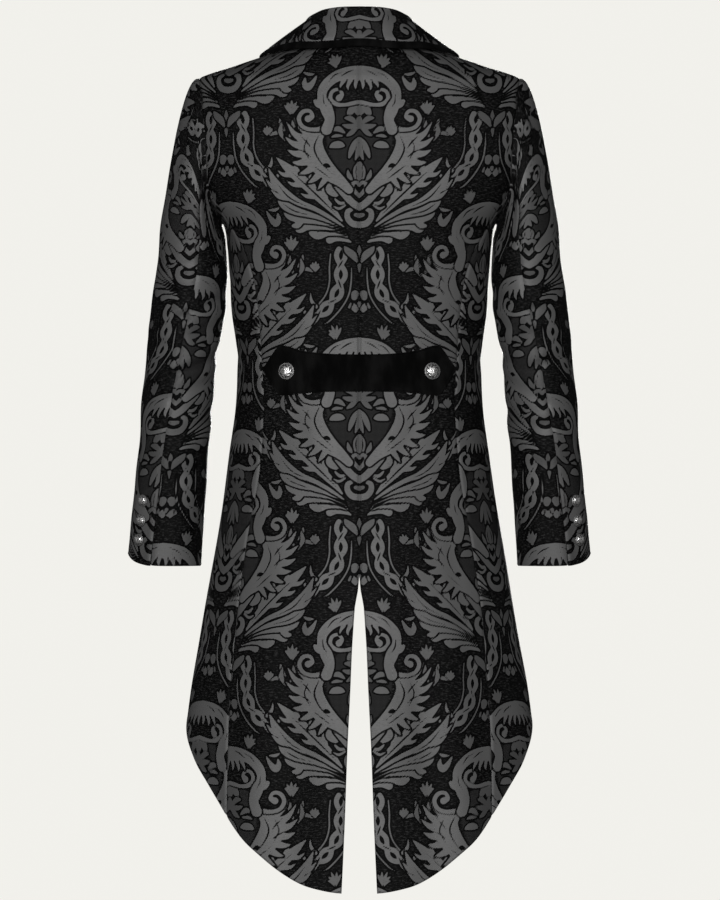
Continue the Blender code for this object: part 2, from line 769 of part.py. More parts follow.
def add_buttons(metal):
    for side, tail in ((-1, "left"), (1, "right")):
        level = BELT_BUTTON["level"]
        turn = turn_at(BELT_BUTTON["x"], level)
        normal = coat_normal(turn, level)
        place = coat_point(turn, level) + normal * (BELT_STAND + BELT_WALL + SHANK)
        sizes = (BELT_BUTTON["radius"], BELT_BUTTON["height"])
        add_button("belt_button_" + tail, place, normal, *sizes, side, metal)
        for number, level in enumerate(CUFF_BUTTON["levels"], 1):
            clock, way = np.array(float(CUFF_BUTTON["clock"])), np.array(way_of(level))
            normal = sleeve_normal(clock, way)
            place = sleeve_point(clock, way) + normal * REST_GAP
            sizes = (CUFF_BUTTON["radius"], CUFF_BUTTON["height"])
            add_button(f"cuff_button_{tail}_{number}", place, normal, *sizes, side, metal)
    for number, level in enumerate(FRONT_BUTTON["levels"], 1):
        normal = coat_normal(180.0, level)
        place = coat_point(180.0, level) + normal * (LAP_HEIGHT + REST_GAP)
        sizes = (FRONT_BUTTON["radius"], FRONT_BUTTON["height"])
        add_button(f"front_button_{number}", place, normal, *sizes, 1, metal)


def build():
    for thing in list(bpy.data.objects):
        bpy.data.objects.remove(thing, do_unlink=True)
    cloth = material("damask", (0.03, 0.03, 0.032), 0.75)
    velvet = material("velvet", (0.004, 0.004, 0.004), 0.95)
    metal = material("antique_metal", (0.45, 0.44, 0.42), 0.35, 1.0)
    for side, tail in ((-1, "_left"), (1, "_right")):
        add_panel("back" + tail, back_grid(), side, cloth)
        add_panel("side_body" + tail, side_grid(), side, cloth)
        front = front_grid()
        add_panel("front" + tail, front, side, cloth, lap_lift(front[..., 0], side))
        add_sleeve("top_sleeve" + tail, True, side, cloth)
        add_sleeve("under_sleeve" + tail, False, side, cloth)
        add_lapel(side, cloth, velvet)
    add_collar(cloth, velvet)
    add_half_belt(velvet)
    add_buttons(metal)


build()
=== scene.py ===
"""The looks of the damask tailcoat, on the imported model's frame.

The coat faces +Y with +Z up. Its tables are in millimetres and degrees, and its meshes in metres.
A turn is measured round the body from the centre back, and a clock round the sleeve from its outer edge.
"""

import math

import bpy
import numpy as np
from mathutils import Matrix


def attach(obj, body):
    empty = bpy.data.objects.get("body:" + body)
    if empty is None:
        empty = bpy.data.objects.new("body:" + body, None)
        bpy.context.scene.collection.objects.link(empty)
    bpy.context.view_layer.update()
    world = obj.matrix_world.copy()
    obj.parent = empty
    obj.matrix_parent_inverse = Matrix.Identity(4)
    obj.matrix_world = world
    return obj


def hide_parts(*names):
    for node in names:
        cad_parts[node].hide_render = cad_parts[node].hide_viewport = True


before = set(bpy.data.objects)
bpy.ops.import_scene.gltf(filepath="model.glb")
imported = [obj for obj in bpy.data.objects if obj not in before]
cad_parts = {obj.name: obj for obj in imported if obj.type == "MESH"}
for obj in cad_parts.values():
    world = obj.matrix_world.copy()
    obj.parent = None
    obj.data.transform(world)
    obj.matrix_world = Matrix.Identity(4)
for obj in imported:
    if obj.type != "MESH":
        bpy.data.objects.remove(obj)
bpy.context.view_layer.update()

METRES = 0.001
WALL = 2.0
SEAM_GAP = 0.3
REST_GAP = 0.4
SHANK = 1.1


class Table:
    """Rows of numbers under named columns, read smoothly at any value of the first column."""

    def __init__(self, names, rows):
        self.names = names.split()
        self.rows = np.array(sorted(rows), dtype=float)

    def read(self, name, where):
        return read_curve(self.rows[:, 0], self.rows[:, self.names.index(name)], where)


def read_curve(at, values, where):
    """Cubic curve through the values, which never swings past them."""
    step = np.diff(at)
    slope = np.diff(values) / step
    mean = (slope[:-1] * step[1:] + slope[1:] * step[:-1]) / (step[:-1] + step[1:])
    limit = 3 * np.minimum(np.abs(slope[:-1]), np.abs(slope[1:]))
    mean = np.where(slope[:-1] * slope[1:] > 0, np.clip(mean, -limit, limit), 0)
    tangent = np.concatenate([slope[:1], mean, slope[-1:]])
    where = np.clip(np.asarray(where, dtype=float), at[0], at[-1])
    index = np.clip(np.searchsorted(at, where, side="right") - 1, 0, len(step) - 1)
    span = step[index]
    part = (where - at[index]) / span
    start = values[index] * (1 + 2 * part) * (1 - part) ** 2
    end = values[index + 1] * part ** 2 * (3 - 2 * part)
    bend = tangent[index] * part * (1 - part) ** 2 - tangent[index + 1] * part ** 2 * (1 - part)
    return start + end + span * bend


# The body form, one row for each level: half its width, its depth behind and in front, and how square it is.
FORM = Table("level half_width back front power", [
    (8, 54, 78, 66, 2.0),
    (0, 75, 81, 70, 2.0),
    (-6, 97, 84, 75, 2.0),
    (-13, 122, 88, 80, 2.0),
    (-20, 144, 92, 85, 2.0),
    (-28, 167, 96, 90, 2.0),
    (-35, 190, 99, 95, 2.0),
    (-42, 208, 102, 99, 2.0),
    (-50, 215, 104, 103, 2.0),
    (-65, 220, 107, 108, 2.1),
    (-85, 223, 110, 114, 2.4),
    (-110, 221, 113, 119, 2.6),
    (-140, 216, 116, 124, 2.8),
    (-175, 208, 118, 127, 2.9),
    (-205, 195, 118, 128, 2.8),
    (-235, 176, 116, 127, 2.6),
    (-260, 172.4, 114, 125, 2.5),
    (-300, 169.8, 110, 122, 2.4),
    (-350, 165.5, 104, 117, 2.3),
    (-385, 160, 101, 114, 2.25),
    (-418, 158, 100, 113, 2.2),
    (-465, 160, 105, 115, 2.2),
    (-525, 168, 114, 120, 2.15),
    (-605, 178, 125, 126, 2.1),
    (-680, 191, 132, 131, 2.1),
    (-760, 205, 139, 136, 2.1),
    (-840, 220, 145, 141, 2.1),
    (-880, 225, 148, 143, 2.1),
    (-955, 231, 153, 146, 2.1),
    (-1050, 237, 159, 150, 2.1),
    (-1110, 240, 162, 152, 2.1),
])

# Soft folds of the body: where each lies, from which level to which, its width and its height.
BODY_FOLDS = Table("turn top bottom width height", [
    (14, -470, -1150, 9, 2.5),
    (31, -560, -1150, 8, -2.5),
    (47, -610, -1150, 9, 3.0),
    (63, -560, -1150, 8, -3.0),
    (79, -480, -1150, 8, 2.5),
    (112, -480, -1150, 9, -3.0),
    (136, -460, -1150, 9, 2.5),
])

FOLD_GROWTH = 0.7

# The hem, level by turn from the centre back: the tails fall low behind and are cut away to the front.
HEM = Table("turn level", [
    (0, -1094.5),
    (8.5, -1094),
    (18.5, -1089.5),
    (25.5, -1083.5),
    (36, -1065),
    (43.5, -1045.5),
    (50, -1027),
    (55, -1008.5),
    (60, -988),
    (64, -970.5),
    (68, -952.5),
    (72.5, -933.5),
    (77, -912.5),
    (82, -893.5),
    (90, -871),
    (100, -836),
    (112, -786),
    (125, -720),
    (138, -645),
    (150, -573),
    (161, -512),
    (170, -475),
    (178, -457),
    (185, -450),
])

# Half the width of the vent, by level, and the side-back seam's distance from the centre back.
VENT = Table("level half_width", [
    (-1110, 23.5),
    (-1000, 18.5),
    (-915, 15.5),
    (-837, 11.7),
    (-759, 8),
    (-712, 3.6),
    (-697, 0),
    (10, 0),
])
SIDE_BACK_SEAM = Table("level half_width", [
    (-184.5, 200),
    (-213, 181),
    (-245, 161),
    (-290, 141),
    (-340, 132),
    (-380, 129),
    (-425, 126),
    (-462, 124),
    (-512, 126),
    (-564, 131),
    (-616, 141),
    (-668, 150),
    (-733, 159),
    (-798, 165.5),
    (-850, 169.5),
    (-900, 172),
    (-1050, 174),
])
UNDERARM_TURN = 100
UNDERARM_LEAN = 40
CLOSE_STEPS = 400
SIDE_SEAM_RISE = 12
TAIL_LEVEL = -1090

SHOULDER_LEVEL = -42
ARMPIT_LEVEL = -232
ARMHOLE_BACK = 66
ARMHOLE_FRONT = 60
CLOCK_STEP = 15
SEAM_CLOCK = 120
UNDERARM_CLOCK = 210

# The neck seam and the front edge below it, as turns and levels from the neck point down to the waist.
NECK_POINT_LEVEL = 0
BACK_NECK_LEVEL = 6
GORGE_TURN = 135
GORGE_LEVEL = -14
FRONT_EDGE = [(135, -14), (150, -62), (161, -140), (168, -215), (174, -282), (182, -325), (187, -350),
              (187.5, -400), (187, -436), (185, -450)]
LAP_HEIGHT = 3.3
LAP_TURNS = (158, 169)

# The sleeve below the armhole: its outer and inner edge, how far forward it hangs, and half its depth.
SLEEVE = Table("level outer inner forward half_depth", [
    (-252, 260, 174.2, 2, 70),
    (-300, 266, 171.3, 3, 69),
    (-350, 272, 175.8, 5, 67),
    (-400, 276.5, 182.5, 8, 65),
    (-450, 281, 188.5, 12, 63),
    (-500, 285.5, 193.5, 16, 60),
    (-564, 292, 199, 22, 56),
    (-603, 295.5, 201.5, 26, 53),
    (-642, 300, 204, 30, 50),
    (-676, 303, 206, 33, 48),
])
SLEEVE_TOP = -252
ARRIVE_STEP = 12
SLEEVE_POWER = 2.1
HIND_SEAM = Table("level clock", [(-252, 105), (-350, 94), (-450, 81), (-550, 73), (-676, 70)])
FORE_SEAM_CLOCK = 240
CUFF_START = -600
CUFF_LENGTH = 76
CUFF_RISE = 14.3
CUFF_REACH = 40
CAP_LEAVE = 0.28
CAP_ARRIVE = 1.05
HEAD_CLEAR = 0.7
HEAD_CLEAR_TOP = 0.4
CREASE_SLANT = 0.25

# Creases of the sleeve, across it: the level and clock of each, its height up and down, its reach and depth.
SLEEVE_CREASES = Table("level clock rise reach depth", [
    (-330, 150, 13, 55, -3.0),
    (-372, 118, 11, 50, -2.5),
    (-405, 165, 12, 60, -4.0),
    (-440, 130, 11, 55, -3.0),
    (-478, 170, 12, 50, -3.0),
])

# The collar by turn: its roll line, and its outer edge with the height of that edge above the form.
COLLAR = Table("turn roll_x roll_y roll_z edge_x edge_y edge_lift", [
    (0, 0, -71, 43.5, 0, -95, 22),
    (18, 23, -68, 43, 36, -93, 20.5),
    (36, 42, -55, 40.5, 66, -84, 16),
    (54, 54, -38, 36, 88, -67, 10.5),
    (72, 61, -17, 32, 108, -42, 5.5),
    (90, 64, 4, 26, 123, -8, 3.4),
    (105, 65, 24, 19, 130, 24, 3.4),
    (120, 64, 44, 9, 130, 54, 4),
    (135, 60, 63, -2, 122, 76, 5.5),
])
COLLAR_TURNS = [0, 18, 36, 54, 72, 90, 105, 120, 135]
COLLAR_INSET = 1.5
COLLAR_BELLY = 2.4
ROLL_RADIUS = 3.6
BINDING_WIDTH = 9.5
BINDING_WALL = 2.6

# The lapel's outer edge on the front, from the notch down to the break, and its roll line beside it.
LAPEL_ROLL = [(137, -20), (150, -62), (161, -140), (168, -215), (171.5, -262), (173, -300)]
LAPEL_EDGE = [(121, -58), (124, -95), (134, -150), (148, -215), (160, -268), (171.5, -306)]
LAPEL_STAND = 1.4
LAPEL_BAND = 8
LAPEL_BULGE = 2.2

# The half belt: its edges from the middle to the corner, and its pointed tip.
BELT_TOP = Table("x level", [(0, -402), (45, -400.5), (75, -396.5), (99, -390), (124, -420)])
BELT_BOTTOM = Table("x level", [(0, -450), (45, -450.5), (75, -452.5), (99, -455), (124, -422)])
BELT_STATIONS = [0, 14, 28, 42, 56, 70, 84, 99, 107, 115, 121, 124]
BELT_WALL = 2.2
BELT_STAND = 0.9

BELT_BUTTON = {"radius": 11, "height": 6.5, "x": 92, "level": -423.5}
FRONT_BUTTON = {"radius": 10, "height": 6, "levels": (-352, -388, -424)}
CUFF_BUTTON = {"radius": 8, "height": 5.5, "clock": 47, "levels": (-591, -617, -644)}


def unit(vectors):
    return vectors / np.linalg.norm(vectors, axis=-1, keepdims=True)


def form_sizes(level):
    return [FORM.read(name, level) for name in ("half_width", "back", "front", "power")]


def form_point(turn, level):
    """The smooth form, by the turn from the centre back and the level."""
    turn = np.asarray(turn, dtype=float)
    level = np.asarray(level, dtype=float)
    half_width, back, front, power = form_sizes(level)
    across = np.sin(np.radians(turn))
    along = np.cos(np.radians(turn))
    depth = np.where(along >= 0, back, front)
    reach = (np.abs(across / half_width) ** power + np.abs(along / depth) ** power) ** (-1 / power)
    return np.stack([reach * across, -reach * along, level + 0 * turn], axis=-1)


def normals_of(surface, first, second, first_step, second_step):
    """Outward normals of a surface given as a function of two values."""
    across = surface(first + first_step, second) - surface(first - first_step, second)
    along = surface(first, second - second_step) - surface(first, second + second_step)
    return unit(np.cross(along, across))


def ease(value):
    value = np.clip(value, 0, 1)
    return value * value * (3 - 2 * value)


def body_fold(turn, level):
    """How far the folds stand proud of the form."""
    height = np.zeros(np.broadcast(turn, level).shape)
    for middle, top, bottom, width, rise in BODY_FOLDS.rows:
        grown = ease((top - level) / (FOLD_GROWTH * (top - bottom)))
        height = height + rise * grown * np.exp(-((turn - middle) / width) ** 2)
    return height


def coat_point(turn, level):
    """The coat's outer face on the body."""
    turn = np.asarray(turn, dtype=float)
    level = np.asarray(level, dtype=float)
    form = form_point(turn, level)
    normal = normals_of(form_point, turn, level, 0.5, 1.0)
    return form + normal * body_fold(turn, level)[..., None]


def coat_normal(turn, level):
    return normals_of(coat_point, turn, level, 0.5, 1.0)


def turn_at(x, level):
    """The turn at which the back of the form is x from the centre."""
    half_width, back, _, power = form_sizes(level)
    share = np.clip(np.asarray(x, dtype=float) / half_width, 0, 1)
    depth = back * (1 - share ** power) ** (1 / power)
    return np.degrees(np.arctan2(x, depth))


def armhole(clock, inset=0):
    """Turn and level round the armhole: clock 0 is the shoulder point, 90 behind, 180 the armpit."""
    clock = np.radians(np.asarray(clock, dtype=float))
    middle = (SHOULDER_LEVEL + ARMPIT_LEVEL) / 2
    level = middle + ((SHOULDER_LEVEL - ARMPIT_LEVEL) / 2 - inset) * np.cos(clock)
    depth = np.where(np.sin(clock) > 0, ARMHOLE_BACK, ARMHOLE_FRONT) - inset
    y = -depth * np.sin(clock)
    half_width, back, front, power = form_sizes(level)
    share = np.abs(y) / np.where(y < 0, back, front)
    x = half_width * (1 - share ** power) ** (1 / power)
    return np.stack([np.degrees(np.arctan2(x, -y)), level], axis=-1)


def way_along(points):
    """Rough distance of each point from the first, a degree of turn counting as 2 mm."""
    steps = np.hypot(2 * np.diff(points[:, 0]), np.diff(points[:, 1]))
    return np.concatenate([[0], np.cumsum(steps)])


def trace(points, count):
    """Evenly spaced turns and levels on a smooth curve through the points."""
    points = np.array(points, dtype=float)
    at = way_along(points)
    where = np.linspace(0, at[-1], count)
    return np.stack([read_curve(at, points[:, 0], where), read_curve(at, points[:, 1], where)], axis=-1)


def form_level(x, y):
    """The level at which the form passes through x and y, over the shoulders."""
    high, low = float(FORM.rows[-1, 0]), -120.0
    for _ in range(40):
        middle = (high + low) / 2
        half_width, back, front, power = [float(size) for size in form_sizes(middle)]
        outside = (abs(x) / half_width) ** power + (abs(y) / (back if y < 0 else front)) ** power > 1
        if outside:
            high = middle
        else:
            low = middle
    return middle


def neck_seam(turn):
    """Level of the neck seam."""
    turn = np.asarray(turn, dtype=float)
    behind = NECK_POINT_LEVEL + (BACK_NECK_LEVEL - NECK_POINT_LEVEL) * np.cos(np.radians(turn)) ** 2
    before = NECK_POINT_LEVEL + (GORGE_LEVEL - NECK_POINT_LEVEL) * ((turn - 90) / (GORGE_TURN - 90)) ** 2
    return np.where(turn <= 90, behind, before)


def shoulder_seam(count):
    """Turns and levels from the neck point to the shoulder point, evenly spaced in width."""
    levels = np.linspace(NECK_POINT_LEVEL, SHOULDER_LEVEL, CLOSE_STEPS)
    widths = FORM.read("half_width", levels)
    spaced = np.interp(np.linspace(widths[0], widths[-1], count), widths, levels)
    return np.stack([np.full(count, 90.0), spaced], axis=-1)


def side_back_seam(parts):
    """Turns and levels from the armhole to the hem."""
    levels = np.linspace(armhole(SEAM_CLOCK)[1], SIDE_BACK_SEAM.rows[0, 0], CLOSE_STEPS)
    turns = turn_at(SIDE_BACK_SEAM.read("half_width", levels), levels)
    turns[0] = armhole(SEAM_CLOCK)[0]
    above = levels > HEM.read("level", turns)
    last = levels[above][-1]
    levels = levels[0] + (last - levels[0]) * parts
    turns = turn_at(SIDE_BACK_SEAM.read("half_width", levels), levels)
    turns[0] = armhole(SEAM_CLOCK)[0]
    return np.stack([turns, levels], axis=-1)


def underarm_seam(parts):
    start = armhole(UNDERARM_CLOCK)
    levels = start[1] + (float(HEM.read("level", UNDERARM_TURN)) - start[1]) * parts
    turns = UNDERARM_TURN + (start[0] - UNDERARM_TURN) * np.exp((levels - start[1]) / UNDERARM_LEAN)
    turns[-1] = UNDERARM_TURN
    return np.stack([turns, levels], axis=-1)


def hem_line(start, end, count):
    turns = np.linspace(start, end, count)
    return np.stack([turns, HEM.read("level", turns)], axis=-1)


def patch(top, bottom, left, right, top_reach, bottom_reach):
    """Turns and levels of a panel between its four edges, which share their corners."""
    across = np.linspace(0, 1, len(top))[None, :, None]
    down = (way_along(left) / way_along(left)[-1] + way_along(right) / way_along(right)[-1]) / 2
    grid = left[:, None] * (1 - across) + right[:, None] * across
    for edge, near, reach in ((top, down, top_reach), (bottom, 1 - down, bottom_reach)):
        straight = edge[0] * (1 - across[0]) + edge[-1] * across[0]
        fade = np.clip(1 - near / reach, 0, 1) ** 2
        grid = grid + fade[:, None, None] * (edge - straight)[None]
    return grid


def pull_in(points, distance, from_top=True):
    """Moves the border of a grid of points inwards, square to itself, so that sewn pieces stay apart."""
    moved = points.copy()
    for border, inner in ((0, 1), (-1, -2)):
        for axis in (0, 1):
            if axis == 0 and border == 0 and not from_top:
                continue
            line = np.take(points, border, axis=axis)
            along = unit(np.gradient(line, axis=0))
            there = np.take(points, inner, axis=axis) - line
            there = there - along * np.sum(there * along, axis=-1, keepdims=True)
            shift = unit(there) * distance
            if axis == 0:
                moved[border] += shift
            else:
                moved[:, border] += shift
    return moved


def lap_lift(turn, side):
    """The left front lies over the right one."""
    low, high = LAP_TURNS
    return LAP_HEIGHT * ease((turn - low) / (high - low)) * (side < 0)


SEAM_PARTS = np.array([0, 0.015, 0.04, 0.075, 0.12, 0.165, 0.205, 0.245, 0.285, 0.325, 0.37, 0.43, 0.5,
                       0.59, 0.69, 0.79, 0.9, 1])


def sleeve_ring(clock, level):
    """A point of the sleeve below the armpit."""
    outer, inner, forward, half_depth = [SLEEVE.read(name, level) for name in SLEEVE.names[1:]]
    angle = np.radians(clock)
    up, back = np.cos(angle), np.sin(angle)
    reach = (np.abs(up) ** SLEEVE_POWER + np.abs(back) ** SLEEVE_POWER) ** (-1 / SLEEVE_POWER)
    x = (outer + inner) / 2 + (outer - inner) / 2 * reach * up
    y = forward - half_depth * reach * back
    return np.stack([x, y, level + 0 * x], axis=-1)


def cuffed(clock, level):
    """The cuff's hem rises towards the outer edge of the sleeve."""
    from_edge = (clock + 180) % 360 - 180
    low = ease((CUFF_START - level) / CUFF_LENGTH)
    return level + CUFF_RISE * low * np.exp(-(from_edge / CUFF_REACH) ** 2)


def sleeve_start(clock):
    """Where the sleeve is set into the armhole, just clear of its edge."""
    turn_level = armhole(clock, SEAM_GAP)
    point = coat_point(turn_level[..., 0], turn_level[..., 1])
    top = (1 + np.cos(np.radians(clock))) / 2
    point[..., 0] += HEAD_CLEAR + HEAD_CLEAR_TOP * top ** 2
    return point


def sleeve_smooth(clock, way):
    """The sleeve without its creases: way runs from 0 to 1 in the cap, and then on by level."""
    clock = np.asarray(clock, dtype=float)
    way = np.asarray(way, dtype=float)
    start = sleeve_start(clock)
    end = sleeve_ring(clock, np.full(clock.shape, float(SLEEVE_TOP)))
    length = np.linalg.norm(end - start, axis=-1, keepdims=True)
    under = ((1 - np.cos(np.radians(clock))) / 2)[..., None]
    leave = (1 - under) * np.array([1, 0, 0.05]) + under * np.array([1, 0, -0.5])
    below = sleeve_ring(clock, np.full(clock.shape, float(SLEEVE_TOP - ARRIVE_STEP)))
    arrive = (below - end) / ARRIVE_STEP
    part = np.clip(way, 0, 1)[..., None]
    cap = start * (1 + 2 * part) * (1 - part) ** 2 + end * part ** 2 * (3 - 2 * part)
    cap = cap + length * (CAP_LEAVE * leave * part * (1 - part) ** 2)
    cap = cap - length * (CAP_ARRIVE * arrive * part ** 2 * (1 - part))
    level = SLEEVE_TOP - np.clip(way - 1, 0, None) * 100
    return np.where((way <= 1)[..., None], cap, sleeve_ring(clock, cuffed(clock, level)))


def sleeve_point(clock, way):
    """The sleeve's outer face, with its creases."""
    smooth = sleeve_smooth(clock, way)
    middle = smooth * (0, 0, 1)
    middle[..., 0] = (SLEEVE.read("outer", smooth[..., 2]) + SLEEVE.read("inner", smooth[..., 2])) / 2
    middle[..., 1] = SLEEVE.read("forward", smooth[..., 2])
    away = unit(smooth - middle)
    crease = np.zeros(smooth.shape[:-1])
    for level, clock_middle, rise, reach, depth in SLEEVE_CREASES.rows:
        slant = (np.asarray(clock) - clock_middle) * CREASE_SLANT
        off = (smooth[..., 2] - level - slant) / rise
        crease = crease + depth * np.exp(-off ** 2 - ((np.asarray(clock) - clock_middle) / reach) ** 2)
    return smooth + away * crease[..., None]


def sleeve_normal(clock, way):
    return normals_of(sleeve_point, clock, way, 0.5, 0.01)


def way_of(level):
    return 1 + (SLEEVE_TOP - level) / 100


def both_sides(half):
    """A grid of one side and the same grid mirrored, joined at the centre."""
    return np.concatenate([(half * (-1, 1, 1))[:0:-1], half])


# The dressed cloth: spacing of its points, how many of them one inner point serves, and its thickness.
BACK_SPACING = (2.0, 2.5)
SIDE_SPACING = (2.2, 2.3)
FRONT_SPACING = (3.0, 3.0)
SLEEVE_SPACING = 2.0
LAPEL_SPACING = 2.0
INNER_STEP = 4
CLOTH = 1.8
FINE = 4
SEAM_OVERLAP = 0.15
HEAD_TUCK = 2.0


def finer(values, times):
    """The same run of values with more steps between them."""
    values = np.asarray(values, dtype=float)
    at = np.arange((len(values) - 1) * times + 1) / times
    return np.interp(at, np.arange(len(values)), values)


def whole_steps(length, spacing):
    return max(1, round(length / spacing / INNER_STEP)) * INNER_STEP


def resample(grid, spacing):
    """The grid again with its points evenly spaced, by the distance between them on the body."""
    point = coat_point(grid[..., 0], grid[..., 1])
    down = np.linalg.norm(np.diff(point, axis=0), axis=-1).mean(axis=1)
    across = np.linalg.norm(np.diff(point, axis=1), axis=-1).max(axis=0)
    for axis, steps in ((0, down), (1, across)):
        at = np.concatenate([[0], np.cumsum(steps)])
        count = whole_steps(at[-1], spacing[axis])
        where = np.interp(np.linspace(0, at[-1], count + 1), at, np.arange(len(at)))
        low = np.clip(where.astype(int), 0, len(at) - 2)
        part = where - low
        part = part[:, None, None] if axis == 0 else part[None, :, None]
        grid = np.take(grid, low, axis=axis) * (1 - part) + np.take(grid, low + 1, axis=axis) * part
    return grid


def back_grid():
    """Half the back: neck and shoulder above, the vent and centre-back seam to one side."""
    parts = finer(SEAM_PARTS, FINE)
    neck_turns = np.linspace(0, 90, 5 * FINE + 1)
    neck = np.stack([neck_turns, neck_seam(neck_turns)], axis=-1)
    top = np.concatenate([neck, shoulder_seam(6 * FINE + 1)[1:]])
    hole = armhole(np.arange(0, SEAM_CLOCK, CLOCK_STEP / FINE))
    right = np.concatenate([hole, side_back_seam(parts)])
    first = np.linspace(BACK_NECK_LEVEL, right[len(hole)][1] - SIDE_SEAM_RISE, len(hole) + 1)
    bottom_level = float(HEM.read("level", turn_at(VENT.read("half_width", TAIL_LEVEL), TAIL_LEVEL)))
    second = first[-1] + (bottom_level - first[-1]) * parts
    levels = np.concatenate([first, second[1:]])
    left = np.stack([turn_at(VENT.read("half_width", levels), levels), levels], axis=-1)
    bottom = hem_line(left[-1][0], right[-1][0], len(top))
    return patch(top, bottom, left, right, 0.34, 0.3)


def side_grid():
    """The side body, under the arm."""
    parts = finer(SEAM_PARTS, FINE)
    steps = (UNDERARM_CLOCK - SEAM_CLOCK) // CLOCK_STEP * FINE
    top = armhole(np.linspace(SEAM_CLOCK, UNDERARM_CLOCK, steps + 1))
    left = side_back_seam(parts)
    right = underarm_seam(parts)
    bottom = hem_line(left[-1][0], right[-1][0], len(top))
    return patch(top, bottom, left, right, 0.25, 0.3)


def front_grid():
    """One front, from the armhole and underarm seam to the front edge, cut away below the waist."""
    parts = finer(SEAM_PARTS, FINE)
    top = shoulder_seam(8 * FINE + 1)[::-1]
    hole = armhole(np.arange(360, UNDERARM_CLOCK, -CLOCK_STEP / FINE))
    left = np.concatenate([hole, underarm_seam(parts)])
    neck_turns = np.linspace(90, GORGE_TURN, 3 * FINE + 1)
    neck = np.stack([neck_turns, neck_seam(neck_turns)], axis=-1)
    edge = trace(FRONT_EDGE, len(left) - len(neck) + 1)
    right = np.concatenate([neck, edge[1:]])
    bottom = hem_line(left[-1][0], right[-1][0], len(top))
    return patch(top, bottom, left, right, 0.3, 0.45)


def waves(first, second, rows):
    """A sum of long soft waves: how many degrees and millimetres each spans, its phase and height."""
    total = 0
    for across, along, phase, height in rows:
        total = total + height * np.sin(2 * math.pi * (first / across + second / along) + phase)
    return total


# Unevenness of hung cloth, and the drag lines a worn coat shows: turn, level, lean, width, length, height.
BODY_WAVES = [
    (61, 310, 0.4, 0.35),
    (-47, 190, 2.1, 0.3),
    (83, -260, 4.0, 0.3),
    (29, 620, 1.3, 0.25),
    (-23, -410, 5.2, 0.2),
]
DRAG_LINES = [
    (-62, -150, 0.55, 5.5, 60, -1.6),
    (59, -165, -0.6, 6, 66, -1.8),
    (-71, -205, 0.4, 5, 48, 1.1),
    (68, -225, -0.35, 5, 52, 1.3),
    (-44, -470, -0.9, 5, 60, -1.1),
    (40, -476, 1.0, 5.5, 64, -1.3),
    (-66, -445, -0.5, 6, 55, 1.0),
    (70, -452, 0.45, 6, 60, 1.1),
    (-86, -395, 2.2, 8, 30, -1.5),
    (84, -400, -2.0, 8, 34, -1.6),
    (-101, -330, 1.8, 9, 34, -1.4),
    (104, -345, -1.7, 9, 38, -1.6),
    (-128, -300, 1.0, 7, 60, -1.2),
    (131, -310, -1.1, 7, 62, -1.2),
    (-30, -62, 1.8, 7, 34, -0.8),
    (27, -60, -1.7, 7, 36, -0.9),
    (-24, -700, 0.10, 4, 190, 1.3),
    (22, -760, -0.08, 4, 200, 1.1),
    (-55, -820, 0.12, 4.5, 170, -1.5),
    (53, -790, -0.10, 4.5, 180, -1.7),
    (-95, -640, 0.10, 5, 120, 1.4),
    (93, -660, -0.12, 5, 130, 1.2),
]


# Where the body's unevenness begins below the shoulders, and where the half belt and the front edge still it.
EASE_TOP = -30
EASE_GROWTH = 120
BELT_MIDDLE = -426
STILL_TURN = 58
STILL_RISE = 36
STILL_FRONT = 150


def body_ease(turn, level, side):
    """How far the cloth stands off its plain form, different on the two sides."""
    around = turn * side
    height = waves(around, level, BODY_WAVES) * ease((EASE_TOP - level) / EASE_GROWTH)
    for middle, centre, lean, width, length, rise in DRAG_LINES:
        along = (level - centre) / length
        off = around - middle - lean * (level - centre) * 0.25
        height = height + rise * np.exp(-(off / width) ** 2 - along ** 2)
    near_belt = (ease((np.abs(around) - STILL_TURN) / 12)
                 + ease((np.abs(level - BELT_MIDDLE) - STILL_RISE) / 30))
    near_front = ease((STILL_FRONT - np.abs(around)) / 12)
    return height * np.clip(near_belt, 0, 1) * near_front


def body_point(turn, level, side):
    """A point of the dressed body, and the direction it faces."""
    normal = coat_normal(turn, level)
    return coat_point(turn, level) + normal * body_ease(turn, level, side)[..., None], normal


def edge_distances(points):
    """Distance of each point of a grid to its top, bottom, left and right border."""
    down = np.linalg.norm(np.diff(points, axis=0), axis=-1)
    across = np.linalg.norm(np.diff(points, axis=1), axis=-1)
    zero_row = np.zeros((1, points.shape[1]))
    zero_column = np.zeros((points.shape[0], 1))
    top = np.concatenate([zero_row, np.cumsum(down, axis=0)])
    left = np.concatenate([zero_column, np.cumsum(across, axis=1)], axis=1)
    return {"top": top, "bottom": top[-1:] - top, "left": left, "right": left[:, -1:] - left}


SEAM_DIP = 1.4
SEAM_REACH = 2.4
TURN_IN = 1.0
TURN_REACH = 1.5
STITCH_INSET = 5.0


def seam_relief(distance):
    """A sewn seam: the cloth rolls in towards it."""
    return -SEAM_DIP * np.exp(-(distance / SEAM_REACH) ** 2)


def edge_relief(distance):
    """A turned and stitched edge: rounded over, a little proud, pressed down along its stitching."""
    rounded = -TURN_IN * np.exp(-(distance / TURN_REACH) ** 2)
    proud = 0.35 * np.exp(-((distance - 2.6) / 1.8) ** 2)
    pressed = -0.3 * np.exp(-((distance - STITCH_INSET) / 1.1) ** 2)
    return rounded + proud + pressed


def border_relief(points, kinds):
    """Relief along the four borders, each of them a seam, a turned edge or nothing."""
    relief = np.zeros(points.shape[:2])
    distances = edge_distances(points)
    for border, kind in kinds.items():
        if kind == "seam":
            relief = relief + seam_relief(distances[border])
        elif kind == "edge":
            relief = relief + edge_relief(distances[border])
        else:
            relief = relief + kind(distances[border])
    return relief


def new_mesh(name, points, faces):
    """A smooth mesh from points in millimetres."""
    mesh = bpy.data.meshes.new(name)
    mesh.from_pydata((points * METRES).tolist(), [], faces)
    mesh.shade_smooth()
    return mesh


